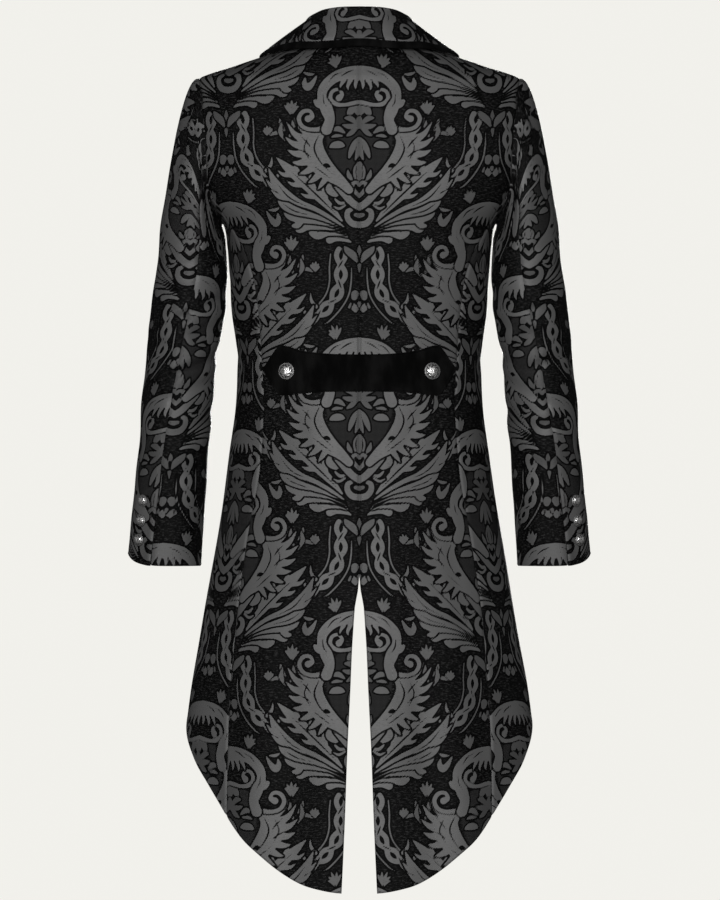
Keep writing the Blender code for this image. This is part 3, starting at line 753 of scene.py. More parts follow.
def new_object(name, data):
    thing = bpy.data.objects.new(name, data)
    bpy.context.scene.collection.objects.link(thing)
    return thing


def shell(name, outer, inner, side, facing):
    """Closed cloth: a fine outer face, a coarser inner face and the turned edge between them."""
    rows, columns = outer.shape[:2]
    few = inner[::INNER_STEP, ::INNER_STEP]
    few_rows, few_columns = few.shape[:2]
    points = np.concatenate([outer.reshape(-1, 3), few.reshape(-1, 3)]) * (side, 1, 1)
    below = rows * columns

    def quads(row_count, column_count, start):
        index = start + np.arange(row_count * column_count).reshape(row_count, column_count)
        corners = (index[:-1, :-1], index[:-1, 1:], index[1:, 1:], index[1:, :-1])
        return np.stack([corner.ravel() for corner in corners], axis=-1)

    def ring(row_count, column_count):
        ways = [(0, column) for column in range(column_count)]
        ways += [(row, column_count - 1) for row in range(1, row_count)]
        ways += [(row_count - 1, column) for column in range(column_count - 2, -1, -1)]
        ways += [(row, 0) for row in range(row_count - 2, 0, -1)]
        return [row * column_count + column for row, column in ways]

    front = quads(rows, columns, 0)
    corners = points[front[0]]
    flip = np.dot(np.cross(corners[1] - corners[0], corners[3] - corners[0]), facing * (side, 1, 1)) < 0
    lining = quads(few_rows, few_columns, below)
    many_ring = ring(rows, columns)
    few_ring = [below + index for index in ring(few_rows, few_columns)]
    rim = []
    for number, here in enumerate(few_ring):
        there = few_ring[(number + 1) % len(few_ring)]
        start = number * INNER_STEP
        run = [many_ring[(start + step) % len(many_ring)] for step in range(INNER_STEP + 1)]
        rim.append(run[::-1] + [here, there])
    turned = [face[::-1] for face in rim] if flip else rim
    outward = front[:, ::-1] if flip else front
    inward = lining if flip else lining[:, ::-1]
    faces = outward.tolist() + turned + inward.tolist()
    mesh = new_mesh(name, points, faces)
    mesh.set_sharp_from_angle(angle=math.radians(50))
    inside = np.zeros(len(faces), dtype=np.int32)
    inside[len(outward) + len(turned):] = 1
    mesh.polygons.foreach_set("material_index", inside)
    return new_object(name, mesh)


def give_weave(thing, outer_cloth, few_cloth):
    """Cloth coordinates in metres on the mesh's UV map, for outer and inner points alike."""
    mesh = thing.data
    coordinates = np.concatenate([outer_cloth.reshape(-1, 2), few_cloth.reshape(-1, 2)]) * METRES
    corner = np.empty(len(mesh.loops), dtype=np.int32)
    mesh.loops.foreach_get("vertex_index", corner)
    layer = mesh.uv_layers.new(name="cloth")
    layer.data.foreach_set("uv", coordinates[corner].ravel())


def add_cloth(name, outer, normal, cloth, side, finish, wall=CLOTH):
    """A piece of cloth from its outer face, with its cloth coordinates and figure."""
    inner = outer - normal * wall
    thing = shell(name, outer, inner, side, normal[0, 0])
    few_cloth = cloth[::INNER_STEP, ::INNER_STEP]
    give_weave(thing, cloth, few_cloth)
    give_figure(thing, cloth, few_cloth)
    for material in finish:
        thing.data.materials.append(material)
    return thing


def dress(thing, nodes, slot, flat=None, area=None, held="hung"):
    """Fixes a piece to the frame and hides the parts it stands for; its finish and its cut are not used."""
    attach(thing, "root")
    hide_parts(*nodes)


def read_grid(field, row, column):
    """The values of a grid of numbers, also between its rows and columns."""
    low_row = np.clip(row.astype(int), 0, field.shape[0] - 2)
    low_column = np.clip(column.astype(int), 0, field.shape[1] - 2)
    row, column = row - low_row, column - low_column
    above = field[low_row, low_column] * (1 - column) + field[low_row, low_column + 1] * column
    below = field[low_row + 1, low_column] * (1 - column) + field[low_row + 1, low_column + 1] * column
    return above * (1 - row) + below * row


def body_arc():
    """Distance round the body from the centre back, by level and turn."""
    turns = np.linspace(0, 190, 381)
    levels = np.concatenate([np.linspace(-1110, -50, 107), np.linspace(-48, 8, 29)])
    turn, level = np.meshgrid(turns, levels)
    steps = np.linalg.norm(np.diff(form_point(turn, level), axis=1), axis=-1)
    arcs = np.concatenate([np.zeros((len(levels), 1)), np.cumsum(steps, axis=1)], axis=1)

    def read(turn, level):
        row = np.interp(level, levels, np.arange(len(levels)))
        column = np.clip(turn / turns[1], 0, len(turns) - 1.001)
        return read_grid(arcs, row, column)
    return read


ARC = body_arc()


# The damask repeats mirrored about its axis and half-dropped: its width and height, and its knot's level.
REPEAT_WIDTH = 352.0
REPEAT_HEIGHT = 351.0
KNOT_LEVEL = -266.5
FIGURE_STEP = 0.7
FIGURE_GAP = 2.1
FAR = 30.0

# Every line below is a row of places on the repeat: across from the axis, up from the knot, half its width.
ARCH = [(0, 228, 9.5), (17, 227, 8), (33, 221, 7), (46, 208, 6.5), (48, 194, 6), (42, 180, 8), (38, 167, 6.5),
        (42, 154, 7)]
ARCH_KNOB = [(44, 186, 6), (52, 187, 5), (57, 191, 2.5)]
ARCH_FRINGE = [[(3, 220, 2.5), (5, 212, 2.2), (4, 206, 0.6)], [(11, 219, 3), (15, 210, 2), (14, 205, 0.6)],
               [(20, 218, 3), (24, 211, 1.6), (25, 207, 0.5)]]
ARCH_CREASES = [[(6, 232, 0.3), (16, 228, 0.9), (26, 221, 0.3)],
                [(22, 229, 0.3), (33, 224, 0.8), (41, 214, 0.3)],
                [(47, 200, 0.3), (46, 190, 0.8), (41, 182, 0.3)]]
INNER_CURL = [(0, 190, 2.6), (9, 188, 2.6), (19, 186, 2.4), (30, 187, 2.8), (37, 194, 2.6), (35, 203, 2.4),
              (27, 206, 2.2), (22, 200, 2.4), (26, 195, 4.4)]
OUTER_CURL = [(43, 160, 5), (50, 155, 3.2), (62, 154, 2.6), (73, 158, 2.6), (78, 168, 2.8), (73, 177, 2.8),
              (64, 178, 2.4), (60, 171, 2.4), (66, 168, 4.6)]
MANTLE = [(47, 154, 6), (60, 143, 13), (61, 128, 15.5), (52, 112, 14), (38, 98, 10.5), (24, 87, 7),
          (13, 76, 5)]
MANTLE_FLAMES = [
    [(64, 148, 5), (76, 157, 3.2), (84, 170, 0.5)],
    [(70, 140, 6), (84, 149, 3.4), (94, 164, 0.5)],
    [(70, 132, 6), (85, 136, 3.6), (96, 145, 0.5)],
    [(69, 123, 6), (82, 123, 3.8), (93, 128, 0.6)],
    [(64, 114, 6), (77, 111, 3.6), (87, 112, 0.6)],
    [(58, 106, 5), (68, 100, 3.6), (77, 97, 0.6)],
    [(50, 98, 5), (58, 90, 3.4), (66, 85, 0.6)],
    [(42, 92, 4), (48, 84, 3), (53, 77, 0.6)],
]
MANTLE_CREASES = [
    [(52, 147, 0.4), (58, 130, 1.0), (50, 112, 0.8), (34, 96, 0.3)],
    [(66, 144, 0.3), (71, 130, 0.8), (64, 114, 0.3)],
    [(60, 108, 0.3), (48, 99, 0.8), (36, 90, 0.3)],
    [(76, 146, 0.3), (67, 137, 0.9), (62, 130, 0.3)],
    [(79, 129, 0.3), (69, 124, 0.9), (62, 118, 0.3)],
]
MANTLE_EYE = [[(38, 106, 1.2), (42, 108, 2.4), (46, 108, 1.0)]]
RIBBON = [(30, 82, 3.4), (17, 68, 4.6), (8, 59, 4.6), (0, 54, 4.6)]
HEART = [(0, 68, 2.4), (7, 76, 2.8), (9, 83, 2.6), (4, 86, 2.2), (0, 82, 2.2)]
RIBBON_CURLS = [
    [(24, 74, 3), (31, 72, 5), (38, 77, 5.2), (36, 85, 3)],
    [(17, 60, 1.4), (25, 59, 2.2), (31, 64, 1.4)],
    [(18, 56, 1.2), (26, 52, 1.8), (33, 55, 0.8)],
]
CUP = [(0, 31, 4.2), (9, 33, 4.2), (15, 40, 3.8), (15, 48, 3.4), (10, 51, 2.6)]
CUP_BUD = [(0, 43, 3.2), (5, 44, 2.4)]

# The leaf spray that sweeps up and out of the knot, from the tallest leaf to the lowest.
SPRAY = [
    [(22, 36, 1.2), (34, 50, 4.2), (48, 64, 6.2), (64, 79, 6.8), (80, 94, 7.0), (94, 106, 5.0),
     (107, 118, 0.7)],
    [(20, 29, 1.0), (38, 41, 2.4), (58, 52, 3.0), (78, 60, 4.2), (96, 72, 5.6), (109, 86, 5.0),
     (117, 103, 0.8)],
    [(19, 26, 0.9), (40, 36, 2.0), (60, 43, 3.2), (82, 49, 5.2), (97, 57, 5.4), (107, 69, 1.0)],
    [(18, 23, 0.9), (38, 31, 2.0), (58, 36, 3.6), (76, 39, 5.4), (90, 43, 5.0), (98, 51, 1.6)],
    [(17, 20, 0.9), (34, 26, 2.2), (52, 29, 4.0), (67, 30, 5.6), (77, 27, 6.2), (81, 31, 4.5)],
    [(15, 16, 1.0), (28, 20, 2.8), (42, 22, 5.4), (53, 20, 7.6), (59, 22, 6.4)],
    [(11, 9, 1.2), (20, 13, 3.4), (30, 15, 5.0), (38, 12, 5.0)],
]
SPRAY_TEETH = [
    [(44, 66, 4), (46, 76, 2.4), (45, 84, 0.4)],
    [(60, 81, 4), (63, 91, 2.6), (62, 100, 0.4)],
    [(77, 95, 4.4), (82, 105, 2.6), (83, 115, 0.4)],
    [(58, 68, 4), (68, 68, 2.4), (76, 72, 0.4)],
    [(74, 83, 4), (85, 83, 2.6), (94, 88, 0.4)],
    [(88, 96, 4), (98, 96, 2.4), (106, 102, 0.4)],
]
SPRAY_TIPS = [
    [(92, 66, 4), (104, 68, 3.0), (114, 76, 0.6)],
    [(100, 76, 4), (112, 80, 2.8), (121, 90, 0.6)],
]
SPRAY_LOBES = [[(74, 38, 4), (80, 31, 4), (86, 30, 2)]]
SPRAY_VEINS = [
    [(30, 45, 0.3), (48, 63, 0.9), (66, 80, 0.9), (88, 100, 0.3)],
    [(66, 54, 0.3), (90, 66, 0.8), (106, 84, 0.3)],
    [(62, 43, 0.3), (84, 49, 0.8), (98, 58, 0.3)],
    [(34, 21, 0.3), (44, 23, 0.8), (54, 22, 0.3)],
]
KNOT_LEAVES = [(3, -16, 1.6), (8, -8, 4.6), (15, -2, 4.0), (19, 3, 1.0)]
KNOT_DROP = [(0, 4, 1.0), (0, -6, 3.6), (0, -18, 3.2), (0, -30, 0.8)]

# The interlaced chain below the knot, and the cords on its two sides.
CHAIN = [(23, 0), (24, -18), (24, -37), (28, -55), (38, -71), (52, -84), (70, -93)]
CHAIN_PITCH = 25.0
CHAIN_SWING = 5.8
CHAIN_HALF = 3.3
CHAIN_CROSSING = 5.5
CHAIN_CORDS = [
    [(37, -6, 0.9), (38.5, -24, 1.1), (38.5, -42, 1.1), (43, -58, 1.1), (53, -71, 1.1), (62, -77, 0.6)],
    [(10, -24, 0.6), (10.5, -42, 1.1), (14, -60, 1.1), (24, -77, 1.1), (38, -92, 1.1), (46, -97, 0.5)],
]
CHAIN_THORNS = [
    [(56, -74, 2.6), (62, -66, 2.0), (63, -56, 0.4)],
    [(66, -84, 2.6), (74, -78, 2.0), (79, -70, 0.4)],
]

# Flowers on the hatched ground inside the arch.
HATCHED = [(0, 174, 14), (0, 162, 30), (0, 146, 42), (0, 126, 34), (0, 106, 12)]
CROWN = [[(0, 183, 6.0), (0, 176, 5)], [(8, 182, 5.4), (12, 176, 4.0), (13, 170, 2)]]
BLOOM = [
    [(0, 168, 3.4), (0, 158, 2.6)],
    [(3, 162, 1.8), (11, 168, 3.6), (18, 169, 1.6)],
    [(3, 159, 1.8), (13, 158, 3.4), (21, 160, 1.2)],
    [(3, 156, 1.8), (10, 150, 3.2), (16, 146, 1.2)],
]
SIDE_BLOOM = [[(19, 150, 1.4), (27, 155, 3.6), (34, 153, 1.2)],
              [(22, 146, 1.2), (30, 146, 2.2), (36, 144, 0.8)]]
EYE = [(19, 133, 1.0), (25, 134.5, 4.4), (32, 134, 4.2), (38, 131, 1.0)]
BELL = [[(0, 142, 3.0), (6, 136, 3.4), (10, 127, 3.6), (13, 118, 1.6)],
        [(0, 134, 2.6), (2, 124, 3.0), (5, 115, 1.2)]]
BUD = [(0, 110, 3.0), (0, 101, 8.0), (0, 92, 6.4), (0, 86, 3.0)]
BUD_LEAVES = [[(7, 88, 1.4), (13, 94, 3.0), (15, 102, 0.8)], [(4, 84, 1.2), (12, 84, 2.4), (19, 88, 0.8)]]
BUD_VEINS = [[(3, 108, 0.3), (4.5, 99, 0.8), (3, 90, 0.3)]]

# Small things strewn on the ground: twigs and curled leaves.
TWIGS = [(29, 240, 0.5, 15), (88, 179, -0.05, 15), (4, -78, 0.35, 9), (118, 150, 0.2, 10)]
CURLED_LEAF = [[(55, 224, 1.0), (61, 214, 3.4), (67, 209, 4.6), (71, 214, 3.4), (70, 221, 1.2)],
               [(58, 226, 0.8), (66, 226, 2.2), (73, 229, 0.8)]]
ROUNDELS = [[(5.5, -58, 5.0), (6.5, -62, 4.0)], [(0, -70, 2.6), (0, -74, 1.0)],
            [(11, -70, 1.2), (13, -75, 1.8)]]
SPRIG_LEAVES = [[(96, 152, 0.8), (101, 160, 3.0), (103, 168, 0.8)],
                [(99, 148, 0.8), (108, 150, 2.6), (116, 146, 0.6)]]
FOOT_LEAVES = [[(84, -34, 0.8), (90, -22, 3.4), (90, -8, 0.8)],
               [(80, -36, 0.8), (74, -24, 3.0), (76, -12, 0.7)]]


def curve_through(points, steps=6):
    """More points on a smooth curve through the given ones, their widths included."""
    points = np.array(points, dtype=float)
    ends = np.concatenate([points[:1] * 2 - points[1:2], points, points[-1:] * 2 - points[-2:-1]])
    part = (np.arange(steps) / steps)[:, None]
    runs = []
    for before, here, there, after in zip(ends, ends[1:], ends[2:], ends[3:]):
        runs.append(0.5 * (2 * here + (there - before) * part
                           + (2 * before - 5 * here + 4 * there - after) * part ** 2
                           + (3 * here - before - 3 * there + after) * part ** 3))
    return np.concatenate(runs + [points[-1:]])


def twig(across, up, lean, size):
    """A twig of five short leaves."""
    lines = []
    for number, spread in enumerate((-1.0, -0.5, 0.0, 0.5, 1.0)):
        angle = lean + spread
        reach = size * (1 - 0.22 * abs(spread))
        root = size * 0.12 * (2 - abs(spread) * 2)
        start = (across + 0.25 * size * math.sin(lean + spread * 0.3), up - size * 0.35 + root)
        middle = (across + reach * 0.6 * math.sin(angle), up + reach * 0.5 * math.cos(angle))
        end = (across + reach * math.sin(angle), up + reach * math.cos(angle))
        lines.append([(*start, 0.7), (*middle, 1.9), (*end, 0.5)])
    return lines


def chain_strands():
    """The chain's two crossing strands, and the short slanting creases where one passes over the other."""
    line = curve_through([(*point, 0.0) for point in CHAIN], 16)[:, :2]
    along = np.concatenate([[0], np.cumsum(np.linalg.norm(np.diff(line, axis=0), axis=-1))])
    heading = unit(np.gradient(line, axis=0))
    square = np.stack([-heading[:, 1], heading[:, 0]], axis=-1)
    swing = CHAIN_SWING * np.sin(math.pi * along / CHAIN_PITCH + 0.6)
    half = np.full((len(line), 1), CHAIN_HALF)
    strands = [np.concatenate([line + way * square * swing[:, None], half], axis=-1) for way in (1, -1)]
    crossings = np.flatnonzero(np.diff(np.sign(swing)) != 0)
    creases = []
    for number, place in enumerate(crossings):
        ahead = heading[place] * CHAIN_CROSSING
        aside = square[place] * CHAIN_HALF * (1 if number % 2 else -1)
        middle = line[place]
        creases.append([(*(middle - ahead + aside), 0.3), (*middle, 0.9), (*(middle + ahead - aside), 0.3)])
    return strands, creases


class Repeat:
    """One repeat of the damask as fields: the figure's edge distance, its tone and the hatched ground."""

    def __init__(self):
        self.across = np.arange(0, REPEAT_WIDTH / 2 + FIGURE_STEP, FIGURE_STEP)
        self.up = np.arange(0, REPEAT_HEIGHT + FIGURE_STEP, FIGURE_STEP)
        self.figure = np.full((len(self.up), len(self.across)), -FAR)
        self.tone = np.full(self.figure.shape, 0.75)
        self.hatch = np.zeros(self.figure.shape)

    def copies(self, line):
        """The line wherever it falls in the repeat, mirrored and half-dropped."""
        half, drop = REPEAT_WIDTH / 2, REPEAT_HEIGHT / 2
        away = line[:, 0]
        for across, shift in ((away, 0), (-away, 0), (half - away, drop), (half + away, drop)):
            for turns in (-1, 0, 1):
                yield np.stack([across, line[:, 1] + shift + turns * REPEAT_HEIGHT, line[:, 2]], axis=-1)

    def shape(self, lines, steps=6):
        """Distance into the union of tapered lines, negative outside them."""
        field = np.full(self.figure.shape, -FAR)
        for points in lines:
            points = np.asarray(points, dtype=float)
            line = curve_through(points, steps) if steps else points
            for copy in self.copies(line):
                margin = 5.0 + copy[:, 2].max()
                low, high = copy[:, :2].min(axis=0) - margin, copy[:, :2].max(axis=0) + margin
                columns = np.searchsorted(self.across, (low[0], high[0]))
                rows = np.searchsorted(self.up, (low[1], high[1]))
                if columns[0] == columns[1] or rows[0] == rows[1]:
                    continue
                window = (slice(*rows), slice(*columns))
                across, up = np.meshgrid(self.across[window[1]], self.up[window[0]])
                best = np.full(across.shape, -FAR)
                for start, end in zip(copy, copy[1:]):
                    run = end[:2] - start[:2]
                    length = max(float(run @ run), 1e-6)
                    part = ((across - start[0]) * run[0] + (up - start[1]) * run[1]) / length
                    part = np.clip(part, 0, 1)
                    away = np.hypot(across - start[0] - run[0] * part, up - start[1] - run[1] * part)
                    best = np.maximum(best, start[2] + (end[2] - start[2]) * part - away)
                field[window] = np.maximum(field[window], best)
        return field

    def lay(self, lines, tone=0.75, gap=FIGURE_GAP, steps=6):
        """Lays a shape over the figure with a dark gap round it."""
        shape = self.shape(lines, steps)
        self.figure = np.maximum(np.minimum(self.figure, -(shape + gap)), shape)
        self.tone = np.where(shape > -gap / 2, tone, self.tone)

    def cut(self, lines):
        """Cuts veins and creases into the figure."""
        self.figure = np.minimum(self.figure, -self.shape(lines))

    def ground(self, line):
        self.hatch = np.clip(self.shape([line]) / 2 + 0.5, 0, 1)

    def read(self, cloth):
        """The three fields at cloth coordinates in millimetres."""
        across = np.abs(cloth[:, 0]) % REPEAT_WIDTH
        across = np.minimum(across, REPEAT_WIDTH - across) / FIGURE_STEP
        up = (cloth[:, 1] - KNOT_LEVEL) % REPEAT_HEIGHT / FIGURE_STEP
        return [read_grid(field, up, across) for field in (self.figure, self.tone, self.hatch)]


def draw_repeat():
    """A traditional damask: arched cartouches in a net of chains and leaf sprays."""
    repeat = Repeat()
    repeat.ground(HATCHED)
    for across, up, lean, size in TWIGS:
        repeat.lay(twig(across, up, lean, size), 0.66, 1.2)
    repeat.lay(CURLED_LEAF, 0.72)
    repeat.lay(SPRIG_LEAVES, 0.62, 1.4)
    repeat.lay(FOOT_LEAVES, 0.62, 1.4)
    repeat.lay(ROUNDELS, 0.55, 1.4)
    strands, creases = chain_strands()
    repeat.lay(strands, 0.8, steps=0)
    repeat.cut(creases)
    repeat.lay(CHAIN_CORDS, 0.7, 1.4)
    repeat.lay(CHAIN_THORNS, 0.8)
    repeat.lay([KNOT_DROP], 0.5)
    repeat.lay([KNOT_LEAVES], 0.55)
    joined = {1: SPRAY_TIPS, 3: SPRAY_LOBES}
    for number in range(len(SPRAY) - 1, 0, -1):
        repeat.lay([SPRAY[number]] + joined.get(number, []), 0.8)
    repeat.lay([SPRAY[0]] + SPRAY_TEETH, 0.82)
    repeat.cut(SPRAY_VEINS)
    repeat.lay(CROWN, 0.6, 1.6)
    repeat.lay(BLOOM, 0.5, 1.6)
    repeat.lay(SIDE_BLOOM, 0.62, 1.6)
    repeat.lay([EYE], 0.72)
    repeat.lay(BELL, 0.6, 1.6)
    repeat.lay(BUD_LEAVES, 0.6, 1.6)
    repeat.lay([BUD], 0.6)
    repeat.cut(BUD_VEINS)
    repeat.lay([CUP], 0.72)
    repeat.lay([CUP_BUD], 0.5, 1.4)
    repeat.lay(RIBBON_CURLS, 0.75)
    repeat.lay([HEART], 0.6, 1.6)
    repeat.lay([RIBBON], 0.72)
    repeat.lay([MANTLE] + MANTLE_FLAMES, 0.84)
    repeat.cut(MANTLE_CREASES)
    repeat.cut(MANTLE_EYE)
    repeat.lay([OUTER_CURL], 0.84, 1.8)
    repeat.lay([INNER_CURL], 0.84, 1.8)
    repeat.lay([ARCH, ARCH_KNOB] + ARCH_FRINGE, 0.84)
    repeat.cut(ARCH_CREASES)
    return repeat


DAMASK = draw_repeat()


def give_figure(thing, cloth, few_cloth):
    """Distance into the damask's figure, its tone and the hatched ground, at every point of a cloth."""
    at = np.concatenate([cloth.reshape(-1, 2), few_cloth.reshape(-1, 2)])
    for name, values in zip(("figure", "tone", "hatch"), DAMASK.read(at)):
        layer = thing.data.attributes.new(name, "FLOAT", "POINT")
        layer.data.foreach_set("value", values.astype(np.float32))


def panel(name, grid, spacing, side, kinds, cloth_of, finish, lift=None):
    """One piece of the body, dressed."""
    grid = resample(grid, spacing)
    turn, level = grid[..., 0], grid[..., 1]
    face, normal = body_point(turn, level, side)
    plain = pull_in(face, -SEAM_OVERLAP)
    relief = border_relief(plain, kinds)
    if lift is not None:
        relief = relief + lift(turn, side)
    cloth = cloth_of(turn, level, side)
    return add_cloth(name, plain + normal * relief[..., None], normal, cloth, side, finish)


def back_cloth(turn, level, side):
    return np.stack([side * ARC(turn, level), level], axis=-1)


def side_cloth(turn, level, side):
    around = ARC(turn, level) - ARC(SIDE_AXIS_TURN + 0 * level, level)
    return np.stack([side * around, level + SIDE_SHIFT], axis=-1)


def front_cloth(turn, level, side):
    return np.stack([side * (ARC(180 + 0 * level, level) - ARC(turn, level)), level + FRONT_SHIFT], axis=-1)


SIDE_AXIS_TURN = 72
SIDE_SHIFT = 118.0
FRONT_SHIFT = 60.0
SLEEVE_SHIFT = 40.0
SLEEVE_AXIS_CLOCK = 88
VENT_TOP = -688


def vent_relief(level):
    """The centre back: a seam down to the vent, and a turned edge below it."""
    open_share = ease((VENT_TOP - level) / 16)

    def relief(distance):
        return seam_relief(distance) * (1 - open_share) + edge_relief(distance) * open_share
    return relief


def add_body(side, tail, cloth_finish):
    grid = back_grid()
    levels = resample(grid, BACK_SPACING)[:, :1, 1]
    kinds = {"top": "seam", "bottom": "edge", "left": vent_relief(levels), "right": "seam"}
    back = panel("damask_back" + tail, grid, BACK_SPACING, side, kinds, back_cloth, cloth_finish)
    dress(back, ["back" + tail], "damask", *CUT["back"])
    kinds = {"top": "seam", "bottom": "edge", "left": "seam", "right": "seam"}
    body = panel("damask_side_body" + tail, side_grid(), SIDE_SPACING, side, kinds, side_cloth, cloth_finish)
    dress(body, ["side_body" + tail], "damask", *CUT["side_body"])
    kinds = {"top": "seam", "bottom": "edge", "left": "seam", "right": "edge"}
    front = panel("damask_front" + tail, front_grid(), FRONT_SPACING, side, kinds, front_cloth, cloth_finish,
                  lap_lift)
    dress(front, ["front" + tail], "damask", *CUT["front"])


# Finer creases of the sleeves, left and right: level, clock, rise, reach, depth, and their lean.
LEFT_CREASES = [
    (-282, 95, 9, 42, -1.6, 0.30),
    (-318, 62, 10, 40, -1.3, -0.25),
    (-352, 88, 8, 46, -2.0, 0.35),
    (-389, 55, 9, 36, -1.4, -0.20),
    (-424, 96, 8, 44, -2.2, 0.30),
    (-458, 70, 9, 40, -1.3, -0.30),
    (-505, 105, 10, 45, -1.4, 0.22),
    (-556, 120, 12, 40, -1.1, 0.18),
    (-120, 60, 26, 16, -1.5, 2.2),
    (-185, 128, 30, 12, -1.8, 1.6),
    (-230, 150, 22, 14, -1.6, 1.2),
]
RIGHT_CREASES = [
    (-276, 104, 9, 40, -1.8, -0.26),
    (-309, 70, 9, 44, -1.2, 0.30),
    (-346, 94, 9, 42, -1.8, -0.34),
    (-380, 62, 8, 38, -1.6, 0.22),
    (-416, 86, 9, 46, -1.9, -0.28),
    (-466, 78, 9, 38, -1.5, 0.30),
    (-498, 110, 9, 48, -1.2, -0.20),
    (-548, 126, 12, 36, -1.3, -0.16),
    (-112, 66, 24, 15, -1.4, 2.0),
    (-190, 122, 28, 13, -1.9, 1.7),
    (-236, 146, 24, 13, -1.4, 1.1),
]
SLEEVE_WAVES = [
    (170, 120, 0.6, 0.45),
    (-240, 76, 2.4, 0.35),
    (110, -210, 1.1, 0.3),
    (-75, 340, 3.7, 0.3),
]
SLEEVE_DEPTH = 1.35
CUFF_VENT_TOP = -578
CUFF_LAP = 2.0
CUFF_FLARE = 2.2
CUFF_LEVEL = -676
STILL_HEAD = -60
STILL_FADE = 60


def sleeve_ease(clock, smooth_level, side):
    """How far the sleeve's cloth stands off its plain form."""
    height = waves(clock * 1.0, smooth_level, SLEEVE_WAVES) * ease((-90 - smooth_level) / 80)
    creases = LEFT_CREASES if side < 0 else RIGHT_CREASES
    for level, middle, rise, reach, depth, lean in creases:
        off = (smooth_level - level - lean * (clock - middle)) / rise
        ridge = off - 1.5
        fade = np.exp(-((clock - middle) / reach) ** 2)
        height = height + fade * depth * (np.exp(-off ** 2) - 0.45 * np.exp(-ridge ** 2))
    quiet = ease((STILL_HEAD - smooth_level) / STILL_FADE) * ease((smooth_level - CUFF_LEVEL) / STILL_FADE)
    inside = ease((clock - 140) / 30) * ease((260 - clock) / 30)
    near_body = 1 - 0.75 * inside * ease((smooth_level + 330) / 60)
    return SLEEVE_DEPTH * height * quiet * near_body


def sleeve_way(levels):
    """Ways for the sleeve's rows from the armhole to the cuff, evenly spaced on its back."""
    ways = np.concatenate([np.linspace(0, 1, 60), 1 + np.linspace(0, way_of(CUFF_LEVEL) - 1, 90)[1:]])
    line = sleeve_smooth(np.full(ways.shape, 60.0), ways)
    at = np.concatenate([[0], np.cumsum(np.linalg.norm(np.diff(line, axis=0), axis=-1))])
    count = whole_steps(at[-1], levels)
    return np.interp(np.linspace(0, at[-1], count + 1), at, ways)


def cuff_relief(clock, level, hind, upper):
    """The cuff's vent: the top sleeve laps over the under sleeve and its corner flares."""
    below = ease((CUFF_VENT_TOP - level) / 14)
    near = np.exp(-((clock - hind) / 9.0) ** 2)
    if upper:
        flare = ease((CUFF_VENT_TOP - 50 - level) / 48)
        return below * near * (CUFF_LAP + CUFF_FLARE * flare)
    return -0.6 * below * near


def add_sleeve(side, tail, upper, finish):
    ways = sleeve_way(SLEEVE_SPACING)
    levels = np.where(ways > 1, SLEEVE_TOP - (ways - 1) * 100, SLEEVE_TOP)
    hind = HIND_SEAM.read("clock", levels)
    fore = np.full(len(ways), float(FORE_SEAM_CLOCK))
    first, last = (fore - 360, hind) if upper else (hind, fore)
    widest = (last[0] - first[0]) / 360 * 275
    across = np.linspace(0, 1, whole_steps(widest, SLEEVE_SPACING) + 1)
    clock = first[:, None] * (1 - across) + last[:, None] * across
    way = np.repeat(ways[:, None], len(across), axis=1)
    face = sleeve_point(clock, way)
    normal = sleeve_normal(clock, way)
    level = face[..., 2]
    plain = pull_in(face, -SEAM_OVERLAP, from_top=False)
    plain[0] -= (HEAD_TUCK, 0, 0)
    kinds = {"bottom": "edge", "left": "seam", "right": "seam"}
    relief = border_relief(plain, kinds) + sleeve_ease(clock, level, side)
    relief = relief + cuff_relief(clock, level, hind[:, None], upper) * (way > 1)
    ring = np.linalg.norm(np.diff(face, axis=1), axis=-1)
    arc = np.concatenate([np.zeros((len(ways), 1)), np.cumsum(ring, axis=1)], axis=1)
    axis = [np.interp(SLEEVE_AXIS_CLOCK, row, arcs) for row, arcs in zip(clock, arc)]
    down = np.linalg.norm(np.diff(face[:, len(across) // 2], axis=0), axis=-1)
    length = np.concatenate([[0], np.cumsum(down)])
    cloth = np.stack([side * (arc - np.array(axis)[:, None]),
                      np.repeat(SLEEVE_SHIFT - length[:, None], len(across), axis=1)], axis=-1)
    name = ("top_sleeve" if upper else "under_sleeve") + tail
    sleeve = add_cloth("damask_" + name, plain + normal * relief[..., None], normal, cloth, side, finish)
    dress(sleeve, [name], "damask", *CUT["top_sleeve" if upper else "under_sleeve"])


COLLAR_COLUMNS = 280
STAND_STEPS = 16
STAND_SHARE = 0.94
FOLD_STEPS = 13
FALL_STEPS = 33
BAND_STEPS = 8
COLLAR_SHIFT = -60.0
COLLAR_WAVE = 0.5


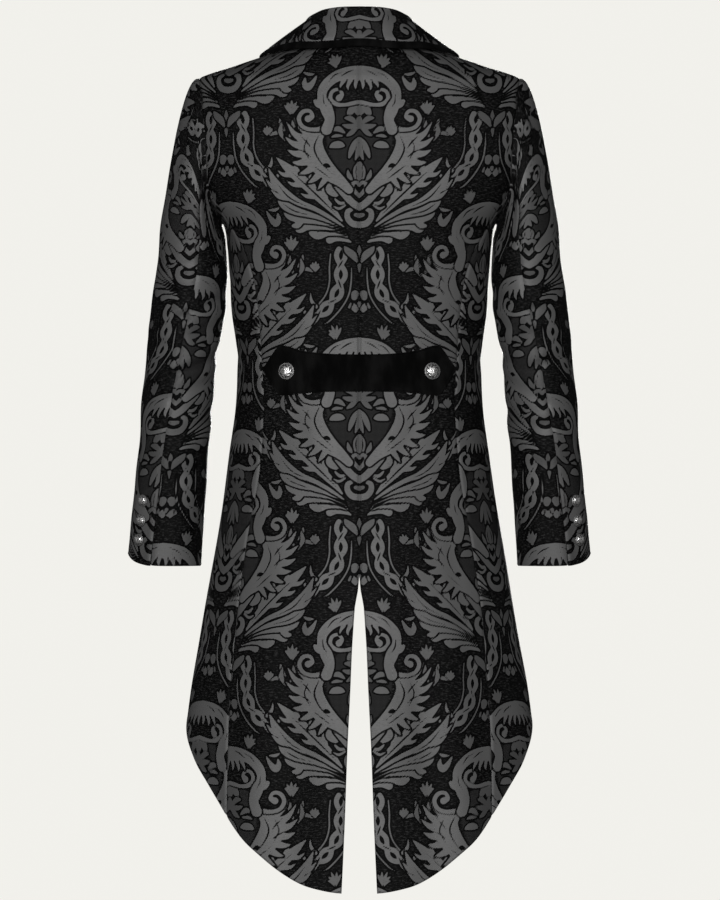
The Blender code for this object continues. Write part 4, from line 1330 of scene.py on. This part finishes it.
def collar_line(turn):
    """The folded collar at one turn: its stand, its roll and its fall to the velvet, then the velvet."""
    seam = form_point(turn, neck_seam(turn))
    inward = -unit(seam * (1, 1, 0))
    seam = seam + inward * COLLAR_INSET + np.array([0, 0, REST_GAP])
    row = {name: float(COLLAR.read(name, turn)) for name in COLLAR.names[1:]}
    roll = np.array([row["roll_x"], row["roll_y"], row["roll_z"]])
    edge_level = form_level(row["edge_x"], row["edge_y"]) + row["edge_lift"]
    edge = np.array([row["edge_x"], row["edge_y"], edge_level])
    out = unit((edge - roll) * (1, 1, 0))
    up = np.array([0, 0, 1.0])
    stand = [seam + (roll - seam) * part for part in np.linspace(0, STAND_SHARE, STAND_STEPS)]
    lean = np.radians(np.linspace(0, 180, FOLD_STEPS))
    fold = [roll + ROLL_RADIUS * (out * (1 - math.cos(angle)) + up * math.sin(angle)) for angle in lean]
    fall = edge - fold[-1]
    length = np.linalg.norm(fall)
    belly = np.cross(fall / length, np.cross(up, out))
    last = 1 - BINDING_WIDTH / length

    def along(parts):
        return [fold[-1] + fall * part + belly * COLLAR_BELLY * math.sin(math.pi * part) for part in parts]

    cloth = stand + fold + along(np.linspace(0, last, FALL_STEPS)[1:])
    band = along(np.linspace(last - SEAM_OVERLAP / length, 1, BAND_STEPS + 1))
    return cloth, band


def smooth_normals(points):
    down = np.gradient(points, axis=0)
    across = np.gradient(points, axis=1)
    return unit(np.cross(down, across))


def rolled(across):
    """A binding's section, from 0 at its edges to 1 along its middle."""
    return np.sqrt(np.clip(1 - (2 * across - 1) ** 4, 0, 1))


def add_collar(cloth_finish, velvet):
    turns = np.linspace(0, COLLAR_TURNS[-1], COLLAR_COLUMNS // 2 + 1)
    lines = [collar_line(turn) for turn in turns]
    cloth_grid = both_sides(np.array([line[0] for line in lines]))
    band = both_sides(np.array([line[1] for line in lines]))
    normal = -smooth_normals(cloth_grid)
    middle = cloth_grid.shape[0] // 2
    roll_row = STAND_STEPS + FOLD_STEPS // 2
    around = np.linalg.norm(np.diff(cloth_grid[:, -1], axis=0), axis=-1)
    arc = np.concatenate([[0], np.cumsum(around)])
    arc = arc - arc[middle]
    down = np.linalg.norm(np.diff(cloth_grid, axis=1), axis=-1)
    fallen = np.concatenate([np.zeros((len(cloth_grid), 1)), np.cumsum(down, axis=1)], axis=1)
    fallen = fallen - fallen[:, roll_row:roll_row + 1]
    cloth = np.stack([np.repeat(arc[:, None], cloth_grid.shape[1], axis=1), COLLAR_SHIFT - fallen], axis=-1)
    relief = border_relief(cloth_grid, {"bottom": "edge", "top": "edge", "right": "seam"})
    relief = relief + COLLAR_WAVE * np.sin(arc / 31.0)[:, None] * ease(fallen / 30)
    outer = cloth_grid + normal * (relief + WALL / 2)[..., None]
    collar = add_cloth("damask_collar", outer, normal, cloth, 1, cloth_finish, WALL)
    dress(collar, ["collar"], "damask", *CUT["collar"], held="folded")
    band_normal = -smooth_normals(band)
    height = BINDING_WALL / 2 * (0.45 + 0.75 * rolled(np.linspace(0, 1, BAND_STEPS + 1)))
    depth = -np.linspace(0, BINDING_WIDTH, BAND_STEPS + 1)
    cloth = np.stack([np.repeat(arc[:, None], BAND_STEPS + 1, axis=1),
                      np.repeat(depth[None], len(arc), axis=0)], axis=-1)
    outer = band + band_normal * height[None, :, None]
    binding = add_cloth("velvet_collar_binding", outer, band_normal, cloth, 1, velvet, BINDING_WALL * 0.9)
    dress(binding, ["collar_binding"], "velvet", *CUT["collar_binding"], held="folded")


def add_lapel(side, tail, cloth_finish, velvet):
    rows = whole_steps(300, LAPEL_SPACING) + 1
    roll = trace(LAPEL_ROLL, rows)
    edge = trace(LAPEL_EDGE, rows)
    widths = np.linalg.norm(coat_point(*edge.T) - coat_point(*roll.T), axis=-1)
    share = np.clip(1 - LAPEL_BAND / widths, 0.3, 1)[:, None]
    inner = roll + (edge - roll) * share
    across = np.linspace(0, 1, whole_steps(70, LAPEL_SPACING) + 1)
    leaf = roll[:, None] * (1 - across[None, :, None]) + inner[:, None] * across[None, :, None]
    turn, level = leaf[..., 0], leaf[..., 1]
    bulge = LAPEL_STAND + WALL + LAPEL_BULGE * np.sin(np.interp(across, [0, 1], [0.15, 1]) * math.pi)
    normal = coat_normal(turn, level)
    face = pull_in(coat_point(turn, level), -SEAM_OVERLAP)
    relief = border_relief(face, {"top": "edge", "bottom": "seam", "left": "seam", "right": "seam"})
    height = bulge[None, :] + lap_lift(turn, side) + relief
    distances = edge_distances(face)
    cloth = np.stack([side * (distances["left"] - 30), -distances["top"] - 40], axis=-1)
    lapel = add_cloth("damask_lapel" + tail, face + normal * height[..., None], normal, cloth, side,
                      cloth_finish)
    dress(lapel, ["lapel" + tail], "damask", *CUT["lapel"], held="folded")
    across = np.linspace(0, 1, BAND_STEPS + 1)
    strip = inner[:, None] * (1 - across[None, :, None]) + edge[:, None] * across[None, :, None]
    turn, level = strip[..., 0], strip[..., 1]
    normal = coat_normal(turn, level)
    face = pull_in(coat_point(turn, level), -SEAM_OVERLAP)
    height = LAPEL_STAND + BINDING_WALL * (0.45 + 0.65 * rolled(across))[None, :] + lap_lift(turn, side)
    distances = edge_distances(face)
    cloth = np.stack([distances["left"], -distances["top"]], axis=-1)
    binding = add_cloth("velvet_lapel_binding" + tail, face + normal * height[..., None], normal, cloth, side,
                        velvet, BINDING_WALL * 0.9)
    dress(binding, ["lapel_binding" + tail], "velvet", *CUT["lapel_binding"], held="folded")


BELT_SPACING = 1.25
PIPE_RADIUS = 1.1
PIPE_RISE = 1.0


def belt_height(points, x, level):
    """The belt's padding: a piped edge, a groove beside it, and a dimple round each button."""
    border = np.concatenate([points[0], points[:, -1], points[-1][::-1], points[:, 0][::-1]])
    distance = np.full(points.shape[:2], 1000.0)
    for point in border[::3]:
        distance = np.minimum(distance, np.linalg.norm(points - point, axis=-1))
    pipe = PIPE_RISE * np.sqrt(np.clip(1 - ((distance - PIPE_RADIUS) / PIPE_RADIUS) ** 2, 0, 1))
    groove = -0.5 * np.exp(-((distance - 2 * PIPE_RADIUS - 0.7) / 0.6) ** 2)
    centre = np.hypot(np.abs(x) - BELT_BUTTON["x"], level - BELT_BUTTON["level"])
    dimple = -0.5 * np.exp(-(centre / 15) ** 2)
    pull = 0.35 * np.exp(-((level - BELT_BUTTON["level"] - 3 * np.sin(x / 19)) / 6) ** 2) * ease(centre / 24)
    soft = 0.22 * np.sin(x / 17 + level / 23 + 0.8) + 0.15 * np.sin(x / 41 - level / 13)
    return pipe + groove + (dimple + pull + soft) * ease((distance - 3) / 4)


def add_half_belt(velvet):
    stations = np.linspace(0, BELT_STATIONS[-1], whole_steps(BELT_STATIONS[-1], BELT_SPACING) + 1)
    rows = whole_steps(56, BELT_SPACING) + 1
    grid = []
    for x in stations:
        levels = np.linspace(float(BELT_TOP.read("level", x)), float(BELT_BOTTOM.read("level", x)), rows)
        grid.append(np.stack([turn_at(np.full(rows, x), levels), levels], axis=-1))
    grid = np.array(grid)
    turn, level = grid[..., 0], grid[..., 1]
    normal = coat_normal(turn, level)
    normal[0, :, 0] = 0
    face = coat_point(turn, level)
    face[0, :, 0] = 0
    points, normals = both_sides(face), both_sides(normal)
    x, level = points[..., 0], points[..., 2]
    height = BELT_STAND + BELT_WALL + belt_height(points, x, level) - 0.5
    outer = points + normals * height[..., None]
    inner = points + normals * BELT_STAND
    cloth = np.stack([x, level], axis=-1)
    belt = shell("velvet_half_belt", outer, inner, 1, normals[0, 0])
    give_weave(belt, cloth, cloth[::INNER_STEP, ::INNER_STEP])
    for material in velvet:
        belt.data.materials.append(material)
    dress(belt, ["half_belt"], "velvet", *CUT["half_belt"], held="laid")


# The cut of each sheet of cloth, as flat width and length in metres and the area of its shape.
CUT = {
    "back": ((0.26, 1.11), 0.187),
    "side_body": ((0.165, 0.83), 0.088),
    "front": ((0.27, 0.84), 0.134),
    "top_sleeve": ((0.25, 0.65), 0.114),
    "under_sleeve": ((0.17, 0.53), 0.070),
    "collar": ((0.49, 0.10), 0.036),
    "collar_binding": ((0.64, 0.0105), 0.0061),
    "lapel": ((0.084, 0.30), 0.0157),
    "lapel_binding": ((0.012, 0.31), 0.0034),
    "half_belt": ((0.25, 0.066), 0.0137),
}


# A button's dome from its foot over the rolled rim to the crown: share of its radius and of its height.
BUTTON_PROFILE = [
    (0.30, 0.0), (0.80, 0.0), (0.93, 0.06), (0.99, 0.16), (1.0, 0.27), (0.975, 0.38), (0.93, 0.45),
    (0.885, 0.46),
    (0.855, 0.42), (0.835, 0.43), (0.80, 0.52), (0.72, 0.66), (0.60, 0.80), (0.45, 0.91), (0.28, 0.975),
    (0.12, 0.998), (0.0, 1.0),
]
BUTTON_SEGMENTS = 72
BUTTON_RINGS = 36
ROSETTE_PETALS = 8
RIM_TWISTS = 30
CHASING = 0.06


def button_chasing(share, angle, size):
    """The chased ornament: a rosette in a ring of scrolls, and a rim like twisted cord."""
    petals = np.abs(np.cos(angle * ROSETTE_PETALS / 2)) ** 0.6
    rosette = np.exp(-((share - 0.24) / 0.12) ** 2) * (petals - 0.45)
    heart = 0.9 * np.exp(-(share / 0.09) ** 2)
    ring = 0.55 * np.exp(-((share - 0.46) / 0.022) ** 2)
    scroll = np.exp(-((share - 0.61) / 0.085) ** 2) * np.sin(6 * angle + 26 * (share - 0.61)) * 0.75
    leaf = np.exp(-((share - 0.74) / 0.05) ** 2) * np.cos(12 * angle + 9 * share) * 0.45
    twist = np.exp(-((share - 0.955) / 0.05) ** 2) * np.sin(RIM_TWISTS * angle + 30 * share) * 0.4
    return (rosette + heart + ring + scroll + leaf + twist) * CHASING * size


def add_button(name, node, place, normal, radius, height, side, metal, turned):
    """A domed metal button with a chased rosette and a twisted rim."""
    profile = np.array(BUTTON_PROFILE)
    along = np.concatenate([[0], np.cumsum(np.hypot(*np.diff(profile, axis=0).T))])
    where = np.linspace(0, along[-1], BUTTON_RINGS)
    share = read_curve(along, profile[:, 0], where)
    rise = read_curve(along, profile[:, 1], where)
    angle = np.linspace(0, 2 * math.pi, BUTTON_SEGMENTS, endpoint=False)
    share_grid, angle_grid = np.meshgrid(share[:-1], angle, indexing="ij")
    chased = button_chasing(share_grid, angle_grid + turned, radius) * ease(rise[:-1] / 0.12)[:, None]
    normal = unit(normal)
    first = unit(np.cross(normal, (0, 0, 1.0)))
    second = np.cross(normal, first)
    lift = rise[:-1, None] * height + chased
    away = share_grid * radius
    points = place + normal * lift[..., None] + away[..., None] * (
        first * np.cos(angle_grid)[..., None] + second * np.sin(angle_grid)[..., None])
    rings = len(share) - 1
    crown = place + normal * (height + 0.9 * CHASING * radius)
    points = np.concatenate([points.reshape(-1, 3), [crown, place]]) * (side, 1, 1)
    faces = []
    for ring in range(rings - 1):
        for index in range(BUTTON_SEGMENTS):
            after = (index + 1) % BUTTON_SEGMENTS
            low, high = ring * BUTTON_SEGMENTS, (ring + 1) * BUTTON_SEGMENTS
            faces.append((low + index, low + after, high + after, high + index))
    top, bottom = (rings - 1) * BUTTON_SEGMENTS, 0
    for index in range(BUTTON_SEGMENTS):
        after = (index + 1) % BUTTON_SEGMENTS
        faces.append((top + index, top + after, rings * BUTTON_SEGMENTS))
        faces.append((bottom + after, bottom + index, rings * BUTTON_SEGMENTS + 1))
    corners = points[list(faces[0])]
    if np.dot(np.cross(corners[1] - corners[0], corners[2] - corners[0]), -normal * (side, 1, 1)) < 0:
        faces = [face[::-1] for face in faces]
    mesh = new_mesh(name, points, faces)
    depth = mesh.attributes.new("chasing", "FLOAT", "POINT")
    values = np.concatenate([(chased / (CHASING * radius)).ravel(), [0.9, 0.0]])
    depth.data.foreach_set("value", values.astype(np.float32))
    mesh.materials.append(metal)
    dress(new_object(name, mesh), [node], "antique_metal")


def add_buttons(metal):
    for side, tail in ((-1, "left"), (1, "right")):
        level = BELT_BUTTON["level"]
        turn = turn_at(BELT_BUTTON["x"], level)
        normal = coat_normal(turn, level)
        place = coat_point(turn, level) + normal * (BELT_STAND + BELT_WALL + SHANK)
        sizes = (BELT_BUTTON["radius"], BELT_BUTTON["height"])
        name = "belt_button_" + tail
        add_button("chased_" + name, name, place, normal, *sizes, side, metal, 0.2)
        for number, level in enumerate(CUFF_BUTTON["levels"], 1):
            clock, way = np.array(float(CUFF_BUTTON["clock"])), np.array(way_of(level))
            normal = sleeve_normal(clock, way)
            place = sleeve_point(clock, way) + normal * REST_GAP
            sizes = (CUFF_BUTTON["radius"], CUFF_BUTTON["height"])
            name = f"cuff_button_{tail}_{number}"
            add_button("chased_" + name, name, place, normal, *sizes, side, metal, 0.5 * number)
    for number, level in enumerate(FRONT_BUTTON["levels"], 1):
        normal = coat_normal(180.0, level)
        place = coat_point(180.0, level) + normal * (LAP_HEIGHT + REST_GAP)
        sizes = (FRONT_BUTTON["radius"], FRONT_BUTTON["height"])
        name = f"front_button_{number}"
        add_button("chased_" + name, name, place, normal, *sizes, 1, metal, 0.3 * number)


class Value:
    """A shader socket that reads as a number in an expression."""

    def __init__(self, finish, socket):
        self.finish = finish
        self.socket = socket

    def maths(self, operation, *others):
        return self.finish.node("ShaderNodeMath", {"operation": operation}, [self, *others])

    def __add__(self, other):
        return self.maths("ADD", other)

    def __sub__(self, other):
        return self.maths("SUBTRACT", other)

    def __mul__(self, other):
        return self.maths("MULTIPLY", other)

    def __rsub__(self, other):
        return self.finish.node("ShaderNodeMath", {"operation": "SUBTRACT"}, [other, self])

    __radd__ = __add__
    __rmul__ = __mul__

    def sine(self):
        return self.maths("SINE")

    def between(self, low, high):
        """0 below low, 1 above high, and a soft step between."""
        settings = {"interpolation_type": "SMOOTHSTEP"}
        values = {"Value": self, "From Min": low, "From Max": high}
        return self.finish.node("ShaderNodeMapRange", settings, values, "Result")


class Finish:
    """A procedural material made of nodes."""

    def __init__(self, name):
        self.material = bpy.data.materials.new(name)
        self.material.use_nodes = True
        self.tree = self.material.node_tree
        self.shader = self.tree.nodes["Principled BSDF"]

    def node(self, kind, settings=None, values=None, result=0):
        """Adds a node: its settings first, then the values or links of its sockets."""
        made = self.tree.nodes.new(kind)
        for name, setting in (settings or {}).items():
            setattr(made, name, setting)
        pairs = values.items() if isinstance(values, dict) else enumerate(values or [])
        for name, value in pairs:
            self.feed(made.inputs[name], value)
        return Value(self, made.outputs[result])

    def feed(self, socket, value):
        if isinstance(value, Value):
            self.tree.links.new(value.socket, socket)
        else:
            socket.default_value = value

    def attribute(self, name):
        return self.node("ShaderNodeAttribute", {"attribute_name": name}, None, "Fac")

    def cloth_map(self):
        return self.node("ShaderNodeUVMap", {"uv_map": "cloth"}, None, "UV")

    def place(self):
        return self.node("ShaderNodeTexCoord", None, None, "Object")

    def split(self, vector, axis):
        return self.node("ShaderNodeSeparateXYZ", None, {"Vector": vector}, axis)

    def stretch(self, vector, scale, move=(0, 0, 0)):
        values = {"Vector": vector, "Scale": scale, "Location": move}
        return self.node("ShaderNodeMapping", None, values, "Vector")

    def noise(self, vector, scale, detail=2.0, roughness=0.5):
        values = {"Vector": vector, "Scale": scale, "Detail": detail, "Roughness": roughness}
        return self.node("ShaderNodeTexNoise", None, values, "Fac")

    def mix(self, share, first, second):
        """A colour between two, given as (red, green, blue, 1) or as sockets."""
        values = {"Factor": share, 6: first, 7: second}
        return self.node("ShaderNodeMix", {"data_type": "RGBA"}, values, 2)

    def bump(self, height, distance, strength):
        values = {"Height": height, "Distance": distance, "Strength": strength}
        return self.node("ShaderNodeBump", None, values, "Normal")

    def set(self, **values):
        """Sets the shader's own sockets, spaces in their names written as underscores."""
        for name, value in values.items():
            self.feed(self.shader.inputs[name.replace("_", " ")], value)
        return self.material


def grey(level, tint=0.0):
    return (level, level * (1 + tint), level * (1 + 2 * tint), 1)


def damask_finish():
    """Jacquard: a satin figure edged in black on a streaky ribbed ground."""
    cloth = Finish("black_damask")
    weave = cloth.cloth_map()
    figure = cloth.attribute("figure")
    tone = cloth.attribute("tone")
    hatch = cloth.attribute("hatch")
    across = cloth.split(weave, "X") * 1000
    down = cloth.split(weave, "Y") * 1000
    fray = cloth.noise(weave, 900, 2.0, 0.6) - 0.5
    edge = figure + fray * 0.9
    inside = edge.between(-0.35, 0.35)
    outline = edge.between(-2.4, -1.3) * (1 - inside)
    streak = cloth.noise(cloth.stretch(weave, (170, 640, 1)), 1.0, 3.0, 0.7)
    fleck = cloth.noise(cloth.stretch(weave, (420, 900, 1), (7, 3, 0)), 1.0, 2.0, 0.6)
    patch = cloth.noise(weave, 14, 2.0, 0.5)
    ribbed = streak.between(0.5, 0.66) * 0.8 + fleck.between(0.52, 0.7) * 0.3
    checks = ((across + down) * 2.1).sine() * ((across - down) * 2.1).sine()
    hatched = checks.between(-0.25, 0.35) * 0.75 + fleck * 0.25
    ground = ribbed * (1 - hatch) + hatched * hatch
    grain = cloth.noise(cloth.stretch(weave, (2600, 1300, 1), (1, 9, 0)), 1.0, 2.0, 0.6)
    satin = tone * (0.6 + grain * 0.8) * (0.85 + patch * 0.3)
    ground_shade = cloth.mix(ground, grey(0.0002), grey(0.0105, -0.004))
    figure_shade = cloth.mix(satin, grey(0.003), grey(0.043, -0.004))
    shade = cloth.mix(inside, ground_shade, figure_shade)
    shade = cloth.mix(outline, shade, grey(0.0002))
    height = inside * 0.55 + ground * (1 - inside) * 0.35 + grain * 0.16 - outline * 0.25
    rough = 0.66 + ground * 0.14 - inside * 0.07 + grain * 0.08
    relief = cloth.bump(height, 0.0006, 0.8)
    return cloth.set(Base_Color=shade, Metallic=inside * 0.42 * (1 - outline), Roughness=rough, Normal=relief,
                     Specular_IOR_Level=0.02)


def lining_finish():
    """The black twill lining inside the coat."""
    lining = Finish("black_lining")
    weave = lining.cloth_map()
    across = lining.split(weave, "X") * 1000
    down = lining.split(weave, "Y") * 1000
    twill = ((across + down) * 3.4).sine()
    soft = lining.noise(weave, 30, 3.0, 0.5)
    shade = lining.mix(twill.between(-0.6, 0.9) * 0.6 + soft * 0.4, grey(0.006), grey(0.016))
    relief = lining.bump(twill, 0.0001, 0.4)
    return lining.set(Base_Color=shade, Roughness=0.42 + soft * 0.12, Normal=relief, Specular_IOR_Level=0.4)


def velvet_finish():
    """Black cotton velvet: deep, with a short uneven pile."""
    velvet = Finish("black_velvet")
    weave = velvet.cloth_map()
    pile = velvet.noise(weave, 2600, 2.0, 0.6)
    nap = velvet.noise(velvet.stretch(weave, (45, 18, 1)), 1.0, 3.0, 0.55)
    shade = velvet.mix(nap.between(0.35, 0.75) * 0.55 + pile * 0.3, grey(0.0002), grey(0.0028, -0.01))
    relief = velvet.bump(pile * 0.6 + nap * 0.5, 0.0004, 0.6)
    return velvet.set(Base_Color=shade, Roughness=0.86 + pile * 0.1, Normal=relief, Specular_IOR_Level=0.004,
                      Sheen_Weight=0.002, Sheen_Roughness=0.4)


def metal_finish():
    """Antique silver: bright where it is rubbed, black in the chasing."""
    metal = Finish("antique_silver")
    place = metal.place()
    depth = metal.attribute("chasing")
    wear = metal.noise(place, 900, 3.0, 0.6)
    spots = metal.noise(place, 260, 2.0, 0.5)
    bright = (depth + (wear - 0.5) * 0.35).between(-0.12, 0.55)
    shade = metal.mix(bright, grey(0.006, -0.01), grey(0.34, -0.012))
    rough = 0.5 - bright * 0.24 + spots * 0.12
    relief = metal.bump(wear, 0.0001, 0.35)
    return metal.set(Base_Color=shade, Metallic=0.55 + bright * 0.45, Roughness=rough, Normal=relief)


GLOW_START = (2.6, 3.6)


def pale_finish():
    """The studio's matt floor and backdrop, which glows behind the coat and is dark in front of it."""
    pale = Finish("studio_pale")
    place = pale.place()
    soft = pale.noise(place, 0.6, 2.0, 0.5)
    shade = pale.mix(soft, (0.0, 0.0, 0.0, 1), (0.0001, 0.0001, 0.0001, 1))
    behind = pale.split(place, "Y").between(*GLOW_START)
    glow = pale.mix(behind, (0.05, 0.05, 0.048, 1), (0.883, 0.875, 0.834, 1))
    return pale.set(Base_Color=shade, Roughness=1.0, Specular_IOR_Level=0.0, Emission_Color=glow,
                    Emission_Strength=1.0)


# The photograph's view: its height at the coat, the camera's distance and place.
VIEW_HEIGHT = 1.17
VIEW_DISTANCE = 12.0
VIEW_CENTRE = (0.0009, -0.5252)


def add_camera():
    lens = bpy.data.cameras.new("view")
    lens.sensor_width = 36
    lens.lens = 36 * VIEW_DISTANCE / VIEW_HEIGHT
    lens.clip_end = 60
    camera = new_object("view", lens)
    camera.location = (VIEW_CENTRE[0], -VIEW_DISTANCE, VIEW_CENTRE[1])
    camera.rotation_euler = (math.pi / 2, 0, 0)
    bpy.context.scene.camera = camera
    bpy.context.scene.view_settings.view_transform = "Standard"


# Soft boxes: place, the point each faces, width and height in metres, and power in watts.
SOFT_BOXES = [
    ("front_box", (-0.5, -8.0, 0.5), (0, 0, -0.5), 2.2, 2.2, 2150),
    ("top_box", (0.4, -1.8, 3.0), (0, 0, -0.2), 2.0, 1.6, 10),
    ("hind_box", (0.5, 8.0, 0.3), (0, 0, -0.5), 1.6, 1.6, 1700),
    ("left_box", (-6.0, 2.5, 0.8), (0, 0.1, -0.5), 2.4, 2.4, 40),
    ("right_box", (6.0, 2.5, 0.8), (0, 0.1, -0.5), 2.4, 2.4, 40),
]


def add_lights():
    for name, place, target, width, height, power in SOFT_BOXES:
        light = bpy.data.lights.new(name, "AREA")
        light.shape = "RECTANGLE"
        light.size = width
        light.size_y = height
        light.energy = power
        lamp = new_object(name, light)
        lamp.location = place
        back = unit(np.array(place) - np.array(target))
        lamp.rotation_euler = (math.acos(back[2]), 0, math.atan2(back[1], back[0]) + math.pi / 2)


FLOOR_LEVEL = -1.3
FLOOR_HALF = 2.4
FLOOR_STEPS = 60
SWEEP = [(-19, 0), (17.8, 0), (18.8, 0.06), (19.5, 0.3), (20.0, 0.8), (20.2, 1.6), (20.25, 5.0)]


def add_backdrop(pale):
    """A plain floor that sweeps up behind the coat."""
    parts = np.linspace(0, len(SWEEP) - 1, FLOOR_STEPS)
    number = np.arange(len(SWEEP))
    line = [[read_curve(number, values, part) for values in np.array(SWEEP).T] for part in parts]
    points = [(x, float(y), FLOOR_LEVEL + float(z)) for x in (-FLOOR_HALF, FLOOR_HALF) for y, z in line]
    count = len(line)
    faces = [(index, count + index, count + index + 1, index + 1) for index in range(count - 1)]
    mesh = bpy.data.meshes.new("studio_floor")
    mesh.from_pydata(points, [], faces)
    mesh.shade_smooth()
    mesh.materials.append(pale)
    new_object("studio_floor", mesh)


def add_world():
    world = bpy.data.worlds.new("studio")
    world.use_nodes = True
    sky = world.node_tree.nodes["Background"]
    sky.inputs["Color"].default_value = (1.0, 1.0, 0.985, 1)
    sky.inputs["Strength"].default_value = 0.05
    bpy.context.scene.world = world


def main():
    cloth = [damask_finish(), lining_finish()]
    velvet = [velvet_finish(), lining_finish()]
    metal = metal_finish()
    for side, tail in ((-1, "_left"), (1, "_right")):
        add_body(side, tail, cloth)
        add_sleeve(side, tail, True, cloth)
        add_sleeve(side, tail, False, cloth)
        add_lapel(side, tail, cloth, velvet)
    add_collar(cloth, velvet)
    add_half_belt(velvet)
    add_buttons(metal)
    add_camera()
    add_lights()
    add_backdrop(pale_finish())
    add_world()


main()
